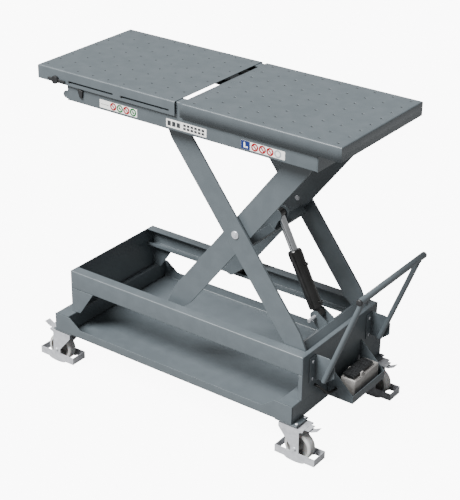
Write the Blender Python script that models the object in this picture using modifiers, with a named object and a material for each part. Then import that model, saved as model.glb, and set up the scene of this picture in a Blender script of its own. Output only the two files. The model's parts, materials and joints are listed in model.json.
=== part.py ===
"""Mobile scissor lift table with a sliding deck extension, foot pump and four braked casters.

Metres, +Z up.  The floor is z = 0, +X runs along the table towards the push handle, and the
origin is on the floor under the middle of the whole table.  Front is -Y, rear is +Y.
"""
import bpy
import bmesh
from math import atan2, cos, degrees, hypot, pi, radians, sin
from mathutils import Matrix, Vector

# ---------------------------------------------------------------- driving dimensions
GAP = 0.0003                  # air between two pieces that touch
RUN = 0.0007                  # radial air of a running fit between faceted rounds

# casters
WHEEL_R = 0.080
WHEEL_W = 0.050
WHEEL_STEPS = 24
WHEEL_TO_TRAY = 0.057         # top of the wheel to the underside of the tray
CASTER_TRAIL = 0.055
CASTER_INSET_Y = 0.053        # tray side to swivel axis
CASTER_INSET_RIGHT = 0.035    # tray end to swivel axis, handle end
CASTER_INSET_LEFT = 0.046     # tray end to swivel axis, far end
PLATE_L, PLATE_W, PLATE_T = 0.130, 0.110, 0.006
BOLT_R = 0.007
BOLT_Y = 0.039                # bolt rows of a caster plate, either side of its middle
CROWN_BACK = 0.046            # fork crown behind the swivel axis
CROWN_DROP = 0.0085           # mounting plate's underside to the crown's top
FORK_T = 0.004
GUARD_CLEAR = 0.039           # tread to the end of the foot guard
GUARD_Z0, GUARD_Z1 = 0.018, 0.060
AXLE_R = 0.006
HUB_HALF = 0.043
HUB_CLEAR = 0.003             # hub face to the fork's side plate
BRAKE_HINGE = 0.050           # axle to the brake blade's hinge
BRAKE_T = 0.003

# load tray
TRAY_PAST_LEFT = 0.062        # tray end beyond the rails' far end
TRAY_SHORT_RIGHT = 0.0015     # tray end short of the rails' handle end
TRAY_PAST_SIDE = 0.072        # tray side beyond the rail's web
TRAY_H = 0.103
TRAY_T = 0.004
TRAY_BEAM = 0.088             # width of the box beam at each end
LIP_H = 0.048                 # low part of the long sides
LIP_FULL = 0.105              # full height stretch at each end
LIP_SLANT = 0.076
DRAIN_R = 0.012

# base frame
RAIL_GAP = 0.143              # tray top to rail underside
RAIL_X0, RAIL_X1 = -0.795, 0.706
RAIL_HALF_W = 0.356
ROLLER_PLAY = 0.009           # room of a roller's diameter inside its rail
RAIL_FLANGE = 0.056
RAIL_LIP = 0.022
RAIL_T = 0.004
END_T = 0.0045
END_FLANGE_LEFT = 0.150
END_FLANGE_RIGHT = 0.018
END_FOOT = 0.055              # the far end plate's flange where it stands on the tray

# scissor
ARM_SPAN = 1.40045            # pivot to roller
ARM_ANGLE = radians(52.7)
ARM_W = 0.122
ARM_END_R = 0.031             # round end about a pivot
ARM_TAPER = 0.130             # from a pivot to the arm's full width
ARM_T = 0.012
ARM_CLEAR = 0.006             # outer arm to the rail's flange
ARM_GAP = 0.012               # between the outer and the inner arm
PIVOT_INSET = 0.032           # rails' handle end to the fixed pivots
PIN_R = 0.014
PIN_HEAD_R = 0.021
PIN_HEAD_T = 0.006
PIN_PAST = 0.004              # a pin's end beyond the last plate it passes
ROLLER_R = 0.044
ROLLER_W = 0.030
STUB_R = 0.012
ROLLER_SIDE = 0.005           # roller face to the rail's web
CROSS_BEAM = 0.044
OUTER_BEAM_ALONG = 0.052      # outer cross beam's middle, from the lower pivot
INNER_BEAM_ALONG, INNER_BEAM_ACROSS = -0.028, -0.063    # on the inner arm, from the centre pivot

# lift cylinder
CYL_LOW_ALONG, CYL_LOW_ACROSS = 0.1358, -0.0274   # on the outer arm, from its lower pivot
CYL_TOP_ALONG, CYL_TOP_ACROSS = 0.0607, -0.0340    # on the inner arm, from the centre pivot
BARREL_R = 0.036
BARREL_L = 0.345
ROD_R = 0.021
EYE_PIN_R = 0.010
LUG_T = 0.008
LUG_GAP = 0.028               # half gap between a pair of lugs

# top frame and decks
PIVOT_TO_FRAME_BOTTOM = 0.071
FRAME_PAST_PIVOT = 0.071      # fixed pivots to the frame's handle end
FRAME_H = 0.155
FRAME_FLANGE = 0.056
TRACK_T = 0.004
DECK_T = 0.003
DECK_CLEAR = 0.0105           # frame's web to the inside of a deck's skirt
DECK_SKIRT = 0.073
SLIDE_L, FIXED_L = 0.885, 0.907
DECK_SEAM = 0.031             # gap between the two decks when closed
FIXED_PAST = 0.128            # fixed deck beyond the frame's handle end
SLIDE_PAST = 0.187            # sliding deck beyond the frame's far end
HOLE_R = 0.005
HOLE_PITCH_X = 0.1005
HOLE_PITCH_Y = 0.0943
HOLES_X, HOLES_Y = 9, 8
SLIDE_HOLE_INSET = 0.038      # deck's left edge to its first hole column
FIXED_HOLE_INSET = 0.061
SLOT_H = 0.010
SLOT_DROP = 0.052             # deck top to slot centre
SLOT_A = (0.203, 0.499)       # slots in the skirts, from the sliding deck's left edge
SLOT_B = (0.544, 0.851)
GUIDE_PIN_R = 0.0042
CLAMP_INSET = 0.124           # sliding deck's left edge to the clamp lever's axis
CLAMP_R = 0.021
LOCK_INSET = 0.092            # frame's far end to the lock knob
LOCK_DROP = 0.099             # frame top to the lock knob's middle
LOCK_OUT = 0.009

# push handle
HANDLE_Y = 0.015              # middle of the handle
LEG_INSET = 0.086             # rail's web to a leg's middle
BAR_PAST_LEG = 0.048
BAR_R = 0.017
LEG_R = 0.014
CAP_L = 0.012
BAR_OUT, BAR_Z = 0.2572, 0.935
FOOT_OUT, FOOT_UP = 0.0612, 0.085     # leg's foot, from the end plate and the tray's top
BRACKET_T = 0.005
BRACKET_H = 0.140

# foot pump
CAGE_FROM_REAR_LEG = 0.080    # rear leg's middle to the cage
CAGE_W = 0.315
CAGE_OUT = 0.150              # reach from the end plate
CAGE_UP = 0.015               # cage floor above the tray's underside
CAGE_H = 0.183
CAGE_LIP = 0.044
CAGE_T = 0.004
PUMP_FROM_CAGE_FRONT, PUMP_FROM_CAGE_REAR = 0.058, 0.020
PUMP_IN, PUMP_OUT = 0.036, 0.126
PUMP_H = 0.092
PEDAL_T = 0.016
PEDAL_PIN_Y = 0.075           # pump's front face to the pedal's pin
PEDAL_RIBS = 9
HOSE_R = 0.007

# ---------------------------------------------------------------- derived places
CASTER_H = 2 * WHEEL_R + WHEEL_TO_TRAY           # floor to the underside of the tray
CROWN_Z = CASTER_H - GAP - PLATE_T - CROWN_DROP
WHEEL_Z = WHEEL_R * cos(pi / WHEEL_STEPS)        # a flat facet of the wheel rests on the floor
FORK_OUT = HUB_HALF + HUB_CLEAR + FORK_T
GUARD_HALF_L = WHEEL_R + GUARD_CLEAR
TRAY_X0, TRAY_X1 = RAIL_X0 - TRAY_PAST_LEFT, RAIL_X1 - TRAY_SHORT_RIGHT
TRAY_HALF_W = RAIL_HALF_W + TRAY_PAST_SIDE
TRAY_Z0 = CASTER_H
TRAY_Z1 = TRAY_Z0 + TRAY_H
RAIL_Z0 = TRAY_Z1 + RAIL_GAP
RAIL_H = 2 * (ROLLER_R + RAIL_T) + ROLLER_PLAY
RAIL_Z1 = RAIL_Z0 + RAIL_H
PIVOT_Z = (RAIL_Z0 + RAIL_Z1) / 2
OUTER_ARM_Y = RAIL_HALF_W - RAIL_FLANGE - ARM_CLEAR - ARM_T / 2
INNER_ARM_Y = OUTER_ARM_Y - ARM_T - ARM_GAP
FIXED_PIVOT_X = RAIL_X1 - PIVOT_INSET
UPPER_Z = PIVOT_Z + ARM_SPAN * sin(ARM_ANGLE)
ROLLER_X = FIXED_PIVOT_X - ARM_SPAN * cos(ARM_ANGLE)
CENTRE = ((FIXED_PIVOT_X + ROLLER_X) / 2, (PIVOT_Z + UPPER_Z) / 2)
FRAME_Z0 = UPPER_Z - PIVOT_TO_FRAME_BOTTOM
FRAME_Z1 = FRAME_Z0 + FRAME_H
DECK_Z0 = FRAME_Z1 + GAP
DECK_Z1 = DECK_Z0 + DECK_T
FRAME_X1 = FIXED_PIVOT_X + FRAME_PAST_PIVOT
FIXED_X1 = FRAME_X1 + FIXED_PAST
FIXED_X0 = FIXED_X1 - FIXED_L
SLIDE_X1 = FIXED_X0 - DECK_SEAM
SLIDE_X0 = SLIDE_X1 - SLIDE_L
FRAME_X0 = SLIDE_X0 + SLIDE_PAST
DECK_HALF_W = RAIL_HALF_W + DECK_CLEAR + DECK_T
END_X = RAIL_X1 + GAP + END_T          # outer face of the handle-end plate
BAR_X = END_X + BAR_OUT
FOOT_X, FOOT_Z = END_X + FOOT_OUT, TRAY_Z1 + FOOT_UP
LEG_HALF = RAIL_HALF_W - LEG_INSET
HANDLE_HALF = LEG_HALF + BAR_PAST_LEG
CAGE_Y1 = HANDLE_Y + LEG_HALF - CAGE_FROM_REAR_LEG
CAGE_Y0 = CAGE_Y1 - CAGE_W
CAGE_Z0 = TRAY_Z0 + CAGE_UP
PUMP_Y0 = CAGE_Y0 + PUMP_FROM_CAGE_FRONT
PUMP_Y1 = CAGE_Y1 - PUMP_FROM_CAGE_REAR
PUMP_Z0 = CAGE_Z0 + CAGE_T + GAP
PUMP_Z1 = PUMP_Z0 + PUMP_H
PEDAL_Y = PUMP_Y0 + PEDAL_PIN_Y


def along_inner(s, w=0.0):
    """Point on the inner arms: s up from the centre pivot, w across towards upper left."""
    c, n = cos(ARM_ANGLE), sin(ARM_ANGLE)
    return CENTRE[0] + s * c - w * n, CENTRE[1] + s * n + w * c


def along_outer(s, w=0.0):
    """Point on the outer arms: s up from the lower pivot, w across towards upper right."""
    c, n = cos(ARM_ANGLE), sin(ARM_ANGLE)
    return FIXED_PIVOT_X - s * c + w * n, PIVOT_Z + s * n + w * c


CYL_LOW = along_outer(CYL_LOW_ALONG, CYL_LOW_ACROSS)
CYL_TOP = along_inner(CYL_TOP_ALONG, CYL_TOP_ACROSS)

# ---------------------------------------------------------------- scene and materials
for old in list(bpy.data.objects):
    bpy.data.objects.remove(old, do_unlink=True)

parts = bpy.data.collections.new("scissor_lift_table")
tools = bpy.data.collections.new("cutters")
bpy.context.scene.collection.children.link(parts)
bpy.context.scene.collection.children.link(tools)


def linear(hex_code):
    """sRGB hex to linear RGBA."""
    values = [int(hex_code[i:i + 2], 16) / 255 for i in (0, 2, 4)]
    return [v / 12.92 if v <= 0.04045 else ((v + 0.055) / 1.055) ** 2.4 for v in values] + [1.0]


def material(name, hex_code, roughness, metallic=0.0):
    mat = bpy.data.materials.new(name)
    mat.use_nodes = True
    shader = mat.node_tree.nodes["Principled BSDF"]
    shader.inputs["Base Color"].default_value = linear(hex_code)
    shader.inputs["Roughness"].default_value = roughness
    shader.inputs["Metallic"].default_value = metallic
    return mat


SLATE = material("slate_powder_coat", "6F7A7E", 0.5)
ZINC = material("zinc_plate", "D5D7D8", 0.35, 0.8)
CHROME = material("chromed_rod", "D8DADC", 0.12, 1.0)
BLACK = material("black_paint", "1D1C1B", 0.45)
NYLON = material("grey_nylon", "B9BABA", 0.55)
CAST = material("cast_aluminium", "C4C4C2", 0.5, 0.6)
PLASTIC = material("black_plastic", "18191A", 0.5)
RUBBER = material("black_rubber", "141414", 0.6)


# ---------------------------------------------------------------- modelling helpers
def finish_mesh(name, bm, mat=None):
    """Turn a bmesh in world coordinates into an object with outward faces."""
    bmesh.ops.remove_doubles(bm, verts=bm.verts, dist=0.00001)
    bmesh.ops.recalc_face_normals(bm, faces=bm.faces)
    mesh = bpy.data.meshes.new(name)
    bm.to_mesh(mesh)
    bm.free()
    obj = bpy.data.objects.new(name, mesh)
    parts.objects.link(obj)
    if mat:
        mesh.materials.append(mat)
    return obj


def box(name, low, high, mat=None, turn=None):
    """A box between two corners, turned about its middle by the optional rotation."""
    low, high = Vector(low), Vector(high)
    bm = bmesh.new()
    scale = Matrix.Diagonal((*(high - low), 1.0))
    place = Matrix.Translation((low + high) / 2)
    bmesh.ops.create_cube(bm, size=1.0, matrix=place @ (turn or Matrix()) @ scale)
    return finish_mesh(name, bm, mat)


def rod(name, start, end, radius, mat=None, segments=20, radius_end=None):
    """A round bar or cone between two points, with a flat facet facing down."""
    start, end = Vector(start), Vector(end)
    axis = end - start
    turn = axis.to_track_quat("Z", "Y").to_matrix().to_4x4()
    spin = Matrix.Rotation(pi / segments, 4, "Z")
    bm = bmesh.new()
    bmesh.ops.create_cone(bm, cap_ends=True, segments=segments, radius1=radius,
                          radius2=radius if radius_end is None else radius_end,
                          depth=axis.length,
                          matrix=Matrix.Translation((start + end) / 2) @ turn @ spin)
    return finish_mesh(name, bm, mat)


PLANES = {"X": Matrix(((0, 0, 1, 0), (1, 0, 0, 0), (0, 1, 0, 0), (0, 0, 0, 1))),
          "Y": Matrix(((1, 0, 0, 0), (0, 0, -1, 0), (0, 1, 0, 0), (0, 0, 0, 1))),
          "Z": Matrix()}


def plate(name, outline, axis, start, end, mat=None):
    """A flat outline carried along an axis.  Outline pairs are YZ, XZ or XY."""
    curve = bpy.data.curves.new(name, "CURVE")
    curve.dimensions = "2D"
    curve.fill_mode = "BOTH"
    curve.extrude = abs(end - start) / 2
    spline = curve.splines.new("POLY")
    spline.points.add(len(outline) - 1)
    for point, (a, b) in zip(spline.points, outline):
        point.co = (a, b, 0.0, 1.0)
    spline.use_cyclic_u = True
    guide = bpy.data.objects.new(name + "_outline", curve)
    parts.objects.link(guide)
    middle = (start + end) / 2
    shift = {"X": (middle, 0, 0), "Y": (0, middle, 0), "Z": (0, 0, middle)}[axis]
    guide.matrix_world = Matrix.Translation(shift) @ PLANES[axis]
    bpy.context.view_layer.update()
    ready = guide.evaluated_get(bpy.context.evaluated_depsgraph_get())
    mesh = bpy.data.meshes.new_from_object(ready)
    bm = bmesh.new()
    bm.from_mesh(mesh)
    bm.transform(guide.matrix_world)
    bpy.data.objects.remove(guide, do_unlink=True)
    bpy.data.meshes.remove(mesh)
    return finish_mesh(name, bm, mat)


def arc(cx, cz, radius, start, end, steps):
    """Points on a circular arc, angles in degrees."""
    return [(cx + radius * cos(radians(start + (end - start) * i / steps)),
             cz + radius * sin(radians(start + (end - start) * i / steps)))
            for i in range(steps + 1)]


def channel(points, thickness):
    """Closed outline of a folded sheet: the points are its outer face, the wall lies to the left."""
    inner = []
    count = len(points)
    for i, (x, z) in enumerate(points):
        normals = []
        for a, b in ((i - 1, i), (i, i + 1)):
            if a >= 0 and b < count:
                dx, dz = points[b][0] - points[a][0], points[b][1] - points[a][1]
                length = hypot(dx, dz)
                normals.append((-dz / length, dx / length))
        nx, nz = sum(n[0] for n in normals), sum(n[1] for n in normals)
        scale = thickness / (1.0 if len(normals) == 1 else (nx * nx + nz * nz) / 2)
        inner.append((x + nx * scale, z + nz * scale))
    return list(points) + inner[::-1]


def boolean(target, tool, operation):
    """Cut or join with a hidden tool object."""
    mod = target.modifiers.new(operation.lower(), "BOOLEAN")
    mod.operation = operation
    mod.solver = "EXACT"
    mod.object = tool
    for owner in list(tool.users_collection):
        owner.objects.unlink(tool)
    tools.objects.link(tool)
    tool.hide_render = True
    tool.display_type = "WIRE"
    return target


def cut(target, *cutters):
    for cutter in cutters:
        boolean(target, cutter, "DIFFERENCE")
    return target


def join(target, *others):
    for other in others:
        boolean(target, other, "UNION")
    return target


def set_origin(obj, point):
    """Put the object's origin on its joint axis without moving the shape."""
    obj.data.transform(Matrix.Translation(-Vector(point)))
    obj.location = point
    return obj


def smooth(obj, angle=35.0):
    obj.data.shade_smooth()
    obj.data.set_sharp_from_angle(angle=radians(angle))
    return obj


def turned(name, profile, centre, direction, mat, steps=24):
    """A profile of (radius, height) pairs turned about an axis through centre."""
    mesh = bpy.data.meshes.new(name)
    bm = bmesh.new()
    ring = [bm.verts.new((r, 0.0, h)) for r, h in profile]
    for a, b in zip(ring, ring[1:] + ring[:1]):
        if a.co.x > 0.00001 or b.co.x > 0.00001:
            bm.edges.new((a, b))
    bm.to_mesh(mesh)
    bm.free()
    obj = bpy.data.objects.new(name, mesh)
    parts.objects.link(obj)
    mesh.materials.append(mat)
    screw = obj.modifiers.new("turn", "SCREW")
    screw.steps = steps
    screw.render_steps = steps
    screw.use_merge_vertices = True
    screw.merge_threshold = 0.00005
    screw.use_normal_calculate = True
    quarter = Vector(direction).to_track_quat("Z", "Y").to_matrix().to_4x4()
    obj.matrix_world = (Matrix.Translation(centre) @ quarter
                        @ Matrix.Rotation(pi / steps, 4, "Z"))
    return obj


SIDES = (("front", -1), ("rear", 1))
ENDS = (("left", -1), ("right", 1))


# ---------------------------------------------------------------- load tray
def tray_side_outline():
    """Long side of the tray: full height at the ends, low in the middle, slanted between."""
    low = TRAY_Z0 + LIP_H
    return [(TRAY_X0, TRAY_Z0), (TRAY_X1, TRAY_Z0), (TRAY_X1, TRAY_Z1),
            (TRAY_X1 - LIP_FULL, TRAY_Z1), (TRAY_X1 - LIP_FULL - LIP_SLANT, low),
            (TRAY_X0 + LIP_FULL + LIP_SLANT, low), (TRAY_X0 + LIP_FULL, TRAY_Z1),
            (TRAY_X0, TRAY_Z1)]


def build_tray():
    w, t = TRAY_HALF_W, TRAY_T
    tray = box("tray", (TRAY_X0, -w, TRAY_Z0), (TRAY_X1, w, TRAY_Z0 + t), SLATE)
    for _, side in SIDES:
        y0, y1 = sorted((side * w, side * (w - t)))
        join(tray, plate("tray_side", tray_side_outline(), "Y", y0, y1))
    for _, end in ENDS:
        x_out = TRAY_X0 if end < 0 else TRAY_X1
        section = [(x_out, TRAY_Z0), (x_out, TRAY_Z1), (x_out - end * TRAY_BEAM, TRAY_Z1),
                   (x_out - end * TRAY_BEAM, TRAY_Z0 + t / 2)]
        outline = channel(section, end * t)
        join(tray, plate("tray_beam", outline, "Y", -w + t / 2, w - t / 2))
    # drain holes in each end beam's floor keep the box beams open
    for _, end in ENDS:
        x_mid = (TRAY_X0 if end < 0 else TRAY_X1) - end * TRAY_BEAM / 2
        for y in (-w / 2, 0.0, w / 2):
            cut(tray, rod("drain", (x_mid, y, TRAY_Z0 - t), (x_mid, y, TRAY_Z0 + 2 * t),
                          DRAIN_R, segments=8))
    return tray


# ---------------------------------------------------------------- base frame
def rail_section(side, z0, z1, half_w, flange, lip, t):
    """C section open towards the middle, with an upturned lip on the lower flange."""
    points = [(half_w - flange, z0 + lip), (half_w - flange, z0), (half_w, z0),
              (half_w, z1), (half_w - flange, z1)]
    return [(side * y, z) for y, z in channel(points, t)]


def build_rail(name, side):
    outline = rail_section(side, RAIL_Z0, RAIL_Z1, RAIL_HALF_W, RAIL_FLANGE, RAIL_LIP, RAIL_T)
    return plate("rail_" + name, outline, "X", RAIL_X0, RAIL_X1, SLATE)


def build_end_plate(name, end):
    """Sheet that closes the rails' end, stands on the tray and folds back under the rails."""
    x_in = RAIL_X1 + GAP if end > 0 else RAIL_X0 - GAP
    x_out = x_in + end * END_T
    z0 = TRAY_Z1 + GAP
    half = RAIL_HALF_W
    sheet = box("end_plate_" + name, (min(x_in, x_out), -half, z0),
                (max(x_in, x_out), half, RAIL_Z1), SLATE)
    reach = END_FLANGE_RIGHT if end > 0 else END_FLANGE_LEFT
    top = RAIL_Z0 - GAP
    x_mid = (x_in + x_out) / 2
    foot = reach if end > 0 else END_FOOT
    outline = [(x_mid, z0), (x_in - end * foot, z0), (x_in - end * reach, top), (x_mid, top)]
    for _, side in SIDES:
        y0, y1 = sorted((side * half, side * (half - RAIL_T)))
        join(sheet, plate("end_flange", outline, "Y", y0, y1))
    return sheet


# ---------------------------------------------------------------- scissor arms
def arm_outline(start, end):
    """Bar between two pivot points in XZ, tapered from its full width to round ends."""
    tilt = atan2(end[1] - start[1], end[0] - start[0])
    slant = atan2(ARM_W / 2 - ARM_END_R, ARM_TAPER)

    def shoulder(point, along, side):
        return (point[0] + along * cos(tilt) - side * sin(tilt) * ARM_W / 2,
                point[1] + along * sin(tilt) + side * cos(tilt) * ARM_W / 2)

    half_turn = 90 - degrees(slant)
    turn = degrees(tilt)
    return (arc(end[0], end[1], ARM_END_R, turn - half_turn, turn + half_turn, 6)
            + [shoulder(end, -ARM_TAPER, 1), shoulder(start, ARM_TAPER, 1)]
            + arc(start[0], start[1], ARM_END_R, turn + 180 - half_turn, turn + 180 + half_turn, 6)
            + [shoulder(start, ARM_TAPER, -1), shoulder(end, -ARM_TAPER, -1)])


def across(point, y):
    return (point[0], y, point[1])


def build_outer_arm(name, side):
    """Outer arm: fixed at the base, with a roller stub at its upper end."""
    low, top = (FIXED_PIVOT_X, PIVOT_Z), (ROLLER_X, UPPER_Z)
    y0, y1 = OUTER_ARM_Y - ARM_T / 2, OUTER_ARM_Y + ARM_T / 2
    arm = plate("outer_arm_" + name, arm_outline(low, top), "Y",
                *sorted((side * y0, side * y1)), SLATE)
    stub_end = RAIL_HALF_W - RAIL_T - PIN_PAST
    join(arm, rod("stub", across(top, side * (y0 + 0.002)), across(top, side * stub_end), STUB_R))
    for point, radius in ((low, PIN_R + RUN), (CENTRE, PIN_R + GAP)):
        cut(arm, rod("arm_hole", across(point, side * (y0 - 0.01)),
                     across(point, side * (y1 + 0.01)), radius))
    return set_origin(arm, across(low, 0.0))


def build_inner_arm(name, side):
    """Inner arm: fixed to the top frame, with a roller stub at its lower end."""
    low, top = (ROLLER_X, PIVOT_Z), (FIXED_PIVOT_X, UPPER_Z)
    y0, y1 = INNER_ARM_Y - ARM_T / 2, INNER_ARM_Y + ARM_T / 2
    arm = plate("inner_arm_" + name, arm_outline(low, top), "Y",
                *sorted((side * y0, side * y1)), SLATE)
    stub_end = RAIL_HALF_W - RAIL_T - PIN_PAST
    join(arm, rod("stub", across(low, side * (y0 + 0.002)), across(low, side * stub_end), STUB_R))
    for point in (top, CENTRE):
        cut(arm, rod("arm_hole", across(point, side * (y0 - 0.01)),
                     across(point, side * (y1 + 0.01)), PIN_R + RUN))
    return set_origin(arm, across(CENTRE, 0.0))


def build_roller(name, point, side, mat):
    """Plain roller turning on a stub, inside its channel."""
    half = ROLLER_W / 2
    bore = STUB_R + RUN
    r = ROLLER_R
    y = side * (RAIL_HALF_W - RAIL_T - ROLLER_SIDE - half)
    profile = [(bore, half), (r - 0.003, half), (r, half - 0.003), (r, 0.003 - half),
               (r - 0.003, -half), (bore, -half)]
    roller = turned(name, profile, across(point, y), (0, 1, 0), mat, 24)
    return smooth(roller)


def build_centre_pin(name, side):
    """Headed pin through both arms at the scissor's centre."""
    outer = OUTER_ARM_Y + ARM_T / 2 + GAP
    tip = INNER_ARM_Y - ARM_T / 2 - PIN_PAST
    pin = rod("centre_pin_" + name, across(CENTRE, side * tip), across(CENTRE, side * outer),
              PIN_R, ZINC)
    head = rod("head", across(CENTRE, side * (outer - 0.00005)),
               across(CENTRE, side * (outer + PIN_HEAD_T)), PIN_HEAD_R, segments=24)
    return set_origin(join(pin, head), across(CENTRE, 0.0))


def build_pivot_pin(name, point, side, arm_y, web_t):
    """Collared pin from an arm out to the inside of its rail's web, where it is welded."""
    inner = arm_y - ARM_T / 2 - PIN_PAST
    outer = RAIL_HALF_W - web_t - GAP
    pin = rod(name, across(point, side * inner), across(point, side * outer), PIN_R, ZINC)
    collar = rod("collar", across(point, side * (inner - PIN_HEAD_T)),
                 across(point, side * (inner + 0.00005)), PIN_HEAD_R)
    return set_origin(join(pin, collar), across(point, 0.0))


def build_outer_cross_beam():
    """Square tube between the outer arms, near the base, with lugs for the cylinder."""
    centre = along_outer(OUTER_BEAM_ALONG)
    half, reach = CROSS_BEAM / 2, OUTER_ARM_Y - ARM_T / 2 - GAP
    turn = Matrix.Rotation(ARM_ANGLE, 4, "Y")
    beam = box("outer_cross_beam", (centre[0] - half, -reach, centre[1] - half),
               (centre[0] + half, reach, centre[1] + half), SLATE, turn)
    for _, side in SIDES:
        outline = ([along_outer(0.040, -0.045), along_outer(0.040, 0.020)]
                   + [along_outer(0.09, 0.020)]
                   + arc(CYL_LOW[0], CYL_LOW[1], 0.030, 80, 200, 6))
        y0 = LUG_GAP
        join(beam, plate("lug", outline, "Y", *sorted((side * y0, side * (y0 + LUG_T)))))
    hole = rod("lug_hole", across(CYL_LOW, -0.1), across(CYL_LOW, 0.1), EYE_PIN_R + GAP)
    return set_origin(cut(beam, hole), (FIXED_PIVOT_X, 0.0, PIVOT_Z))


def build_inner_cross_beam():
    """Square tube under the inner arms' centre, with lugs that flank the rod's eye."""
    centre = along_inner(INNER_BEAM_ALONG, INNER_BEAM_ACROSS)
    half, reach = CROSS_BEAM / 2, INNER_ARM_Y - ARM_T / 2 - GAP
    turn = Matrix.Rotation(-ARM_ANGLE, 4, "Y")
    beam = box("inner_cross_beam", (centre[0] - half, -reach, centre[1] - half),
               (centre[0] + half, reach, centre[1] + half), SLATE, turn)
    for _, side in SIDES:
        outline = ([along_inner(-0.040, -0.070), along_inner(-0.010, -0.078)]
                   + arc(CYL_TOP[0], CYL_TOP[1], 0.034, -60, 130, 7)
                   + [along_inner(-0.040, 0.004)])
        y0 = LUG_GAP
        join(beam, plate("lug", outline, "Y", *sorted((side * y0, side * (y0 + LUG_T)))))
    return set_origin(beam, across(CENTRE, 0.0))


# ---------------------------------------------------------------- lift cylinder
def cylinder_point(distance, up=0.0):
    """Point on the cylinder's axis, measured from the lower pin; up is square to it."""
    dx, dz = CYL_TOP[0] - CYL_LOW[0], CYL_TOP[1] - CYL_LOW[1]
    length = hypot(dx, dz)
    ux, uz = dx / length, dz / length
    return (CYL_LOW[0] + distance * ux - up * uz, CYL_LOW[1] + distance * uz + up * ux)


def build_barrel():
    """Barrel with its lower eye, gland nut, port block and a bore for the rod."""
    barrel = rod("cylinder_barrel", across(cylinder_point(0.036), 0.0),
                 across(cylinder_point(BARREL_L), 0.0), BARREL_R, BLACK, 28)
    eye = rod("eye", across(CYL_LOW, -LUG_GAP + 0.002), across(CYL_LOW, LUG_GAP - 0.002), 0.026)
    join(barrel, rod("neck", across(cylinder_point(0.012), 0.0), across(cylinder_point(0.040), 0.0),
                     0.021))
    gland = rod("gland", across(cylinder_point(BARREL_L - 0.045), 0.0),
                across(cylinder_point(BARREL_L + 0.008), 0.0), BARREL_R + 0.004, segments=28)
    join(barrel, eye, gland)
    for distance in (0.060, BARREL_L - 0.075):
        port = rod("port", across(cylinder_point(distance, BARREL_R - 0.010), 0.0),
                   across(cylinder_point(distance, BARREL_R + 0.016), 0.0), 0.010, segments=12)
        join(barrel, port)
    cut(barrel,
        rod("bore", across(cylinder_point(0.06), 0.0), across(cylinder_point(BARREL_L + 0.03), 0.0),
            ROD_R + RUN),
        rod("eye_hole", across(CYL_LOW, -0.05), across(CYL_LOW, 0.05), EYE_PIN_R + RUN,
            segments=16))
    return smooth(set_origin(barrel, across(CYL_LOW, 0.0)))


def build_rod():
    """Chromed rod with an eye at its upper end; it reaches well down inside the barrel."""
    span = hypot(CYL_TOP[0] - CYL_LOW[0], CYL_TOP[1] - CYL_LOW[1])
    shaft = rod("cylinder_rod", across(cylinder_point(0.185), 0.0),
                across(cylinder_point(span - 0.014), 0.0), ROD_R, CHROME)
    eye = rod("eye", across(CYL_TOP, -LUG_GAP + 0.004), across(CYL_TOP, LUG_GAP - 0.004), 0.024)
    return smooth(set_origin(join(shaft, eye), across(CYL_LOW, 0.0)))


def build_cylinder_pin():
    """Pin through the lower lugs and the barrel's eye; it stands out on the front side."""
    pin = rod("cylinder_pin", across(CYL_LOW, -0.095), across(CYL_LOW, LUG_GAP + LUG_T + 0.008),
              EYE_PIN_R, ZINC, 16)
    return set_origin(pin, across(CYL_LOW, 0.0))


# ---------------------------------------------------------------- top frame
def build_frame_rail(name, side):
    """Tall C section of the top frame with a middle flange as the rollers' upper track."""
    half, t = RAIL_HALF_W, TRACK_T
    inner = half - FRAME_FLANGE
    track = UPPER_Z + ROLLER_R + 0.002
    web = half - t
    section = [(inner, FRAME_Z0), (half, FRAME_Z0), (half, FRAME_Z1), (inner, FRAME_Z1),
               (inner, FRAME_Z1 - t), (web, FRAME_Z1 - t), (web, track + t),
               (inner, track + t), (inner, track), (web, track), (web, FRAME_Z0 + t),
               (inner, FRAME_Z0 + t)]
    return plate("top_rail_" + name, [(side * y, z) for y, z in section], "X",
                 FRAME_X0 + END_T + GAP, FRAME_X1 - END_T - GAP, SLATE)


def build_frame_end(name, end):
    """Sheet across the end of the top frame; the left one carries two rounded stop ears."""
    x0, x1 = sorted((FRAME_X1, FRAME_X1 - END_T)) if end > 0 else (FRAME_X0, FRAME_X0 + END_T)
    sheet = box("top_end_" + name, (x0, -RAIL_HALF_W, FRAME_Z0), (x1, RAIL_HALF_W, FRAME_Z1), SLATE)
    if end < 0:
        for _, side in SIDES:
            y = side * (RAIL_HALF_W - 0.014)
            ear = ([(FRAME_X0 + END_T / 2, FRAME_Z0 + 0.048)]
                   + arc(FRAME_X0 - 0.020, FRAME_Z0 + 0.024, 0.020, 90, 270, 6)
                   + [(FRAME_X0 + END_T / 2, FRAME_Z0 + 0.002)])
            join(sheet, plate("ear", ear, "Y", y - 0.004, y + 0.004))
        join(sheet, box("stop_bar", (FRAME_X0 - 0.010, -RAIL_HALF_W + 0.008, FRAME_Z0 + 0.003),
                        (FRAME_X0 - 0.002, RAIL_HALF_W - 0.008, FRAME_Z0 + 0.011)))
    return sheet


# ---------------------------------------------------------------- decks
def perforation(x_first):
    """One cutter that holds all the round holes of a deck."""
    bm = bmesh.new()
    for i in range(HOLES_X):
        for j in range(HOLES_Y):
            x = x_first + i * HOLE_PITCH_X
            y = (j - (HOLES_Y - 1) / 2) * HOLE_PITCH_Y
            bmesh.ops.create_cone(bm, cap_ends=True, segments=6, radius1=HOLE_R, radius2=HOLE_R,
                                  depth=4 * DECK_T,
                                  matrix=Matrix.Translation((x, y, DECK_Z0 + DECK_T / 2)))
    return finish_mesh("perforation", bm)


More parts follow.
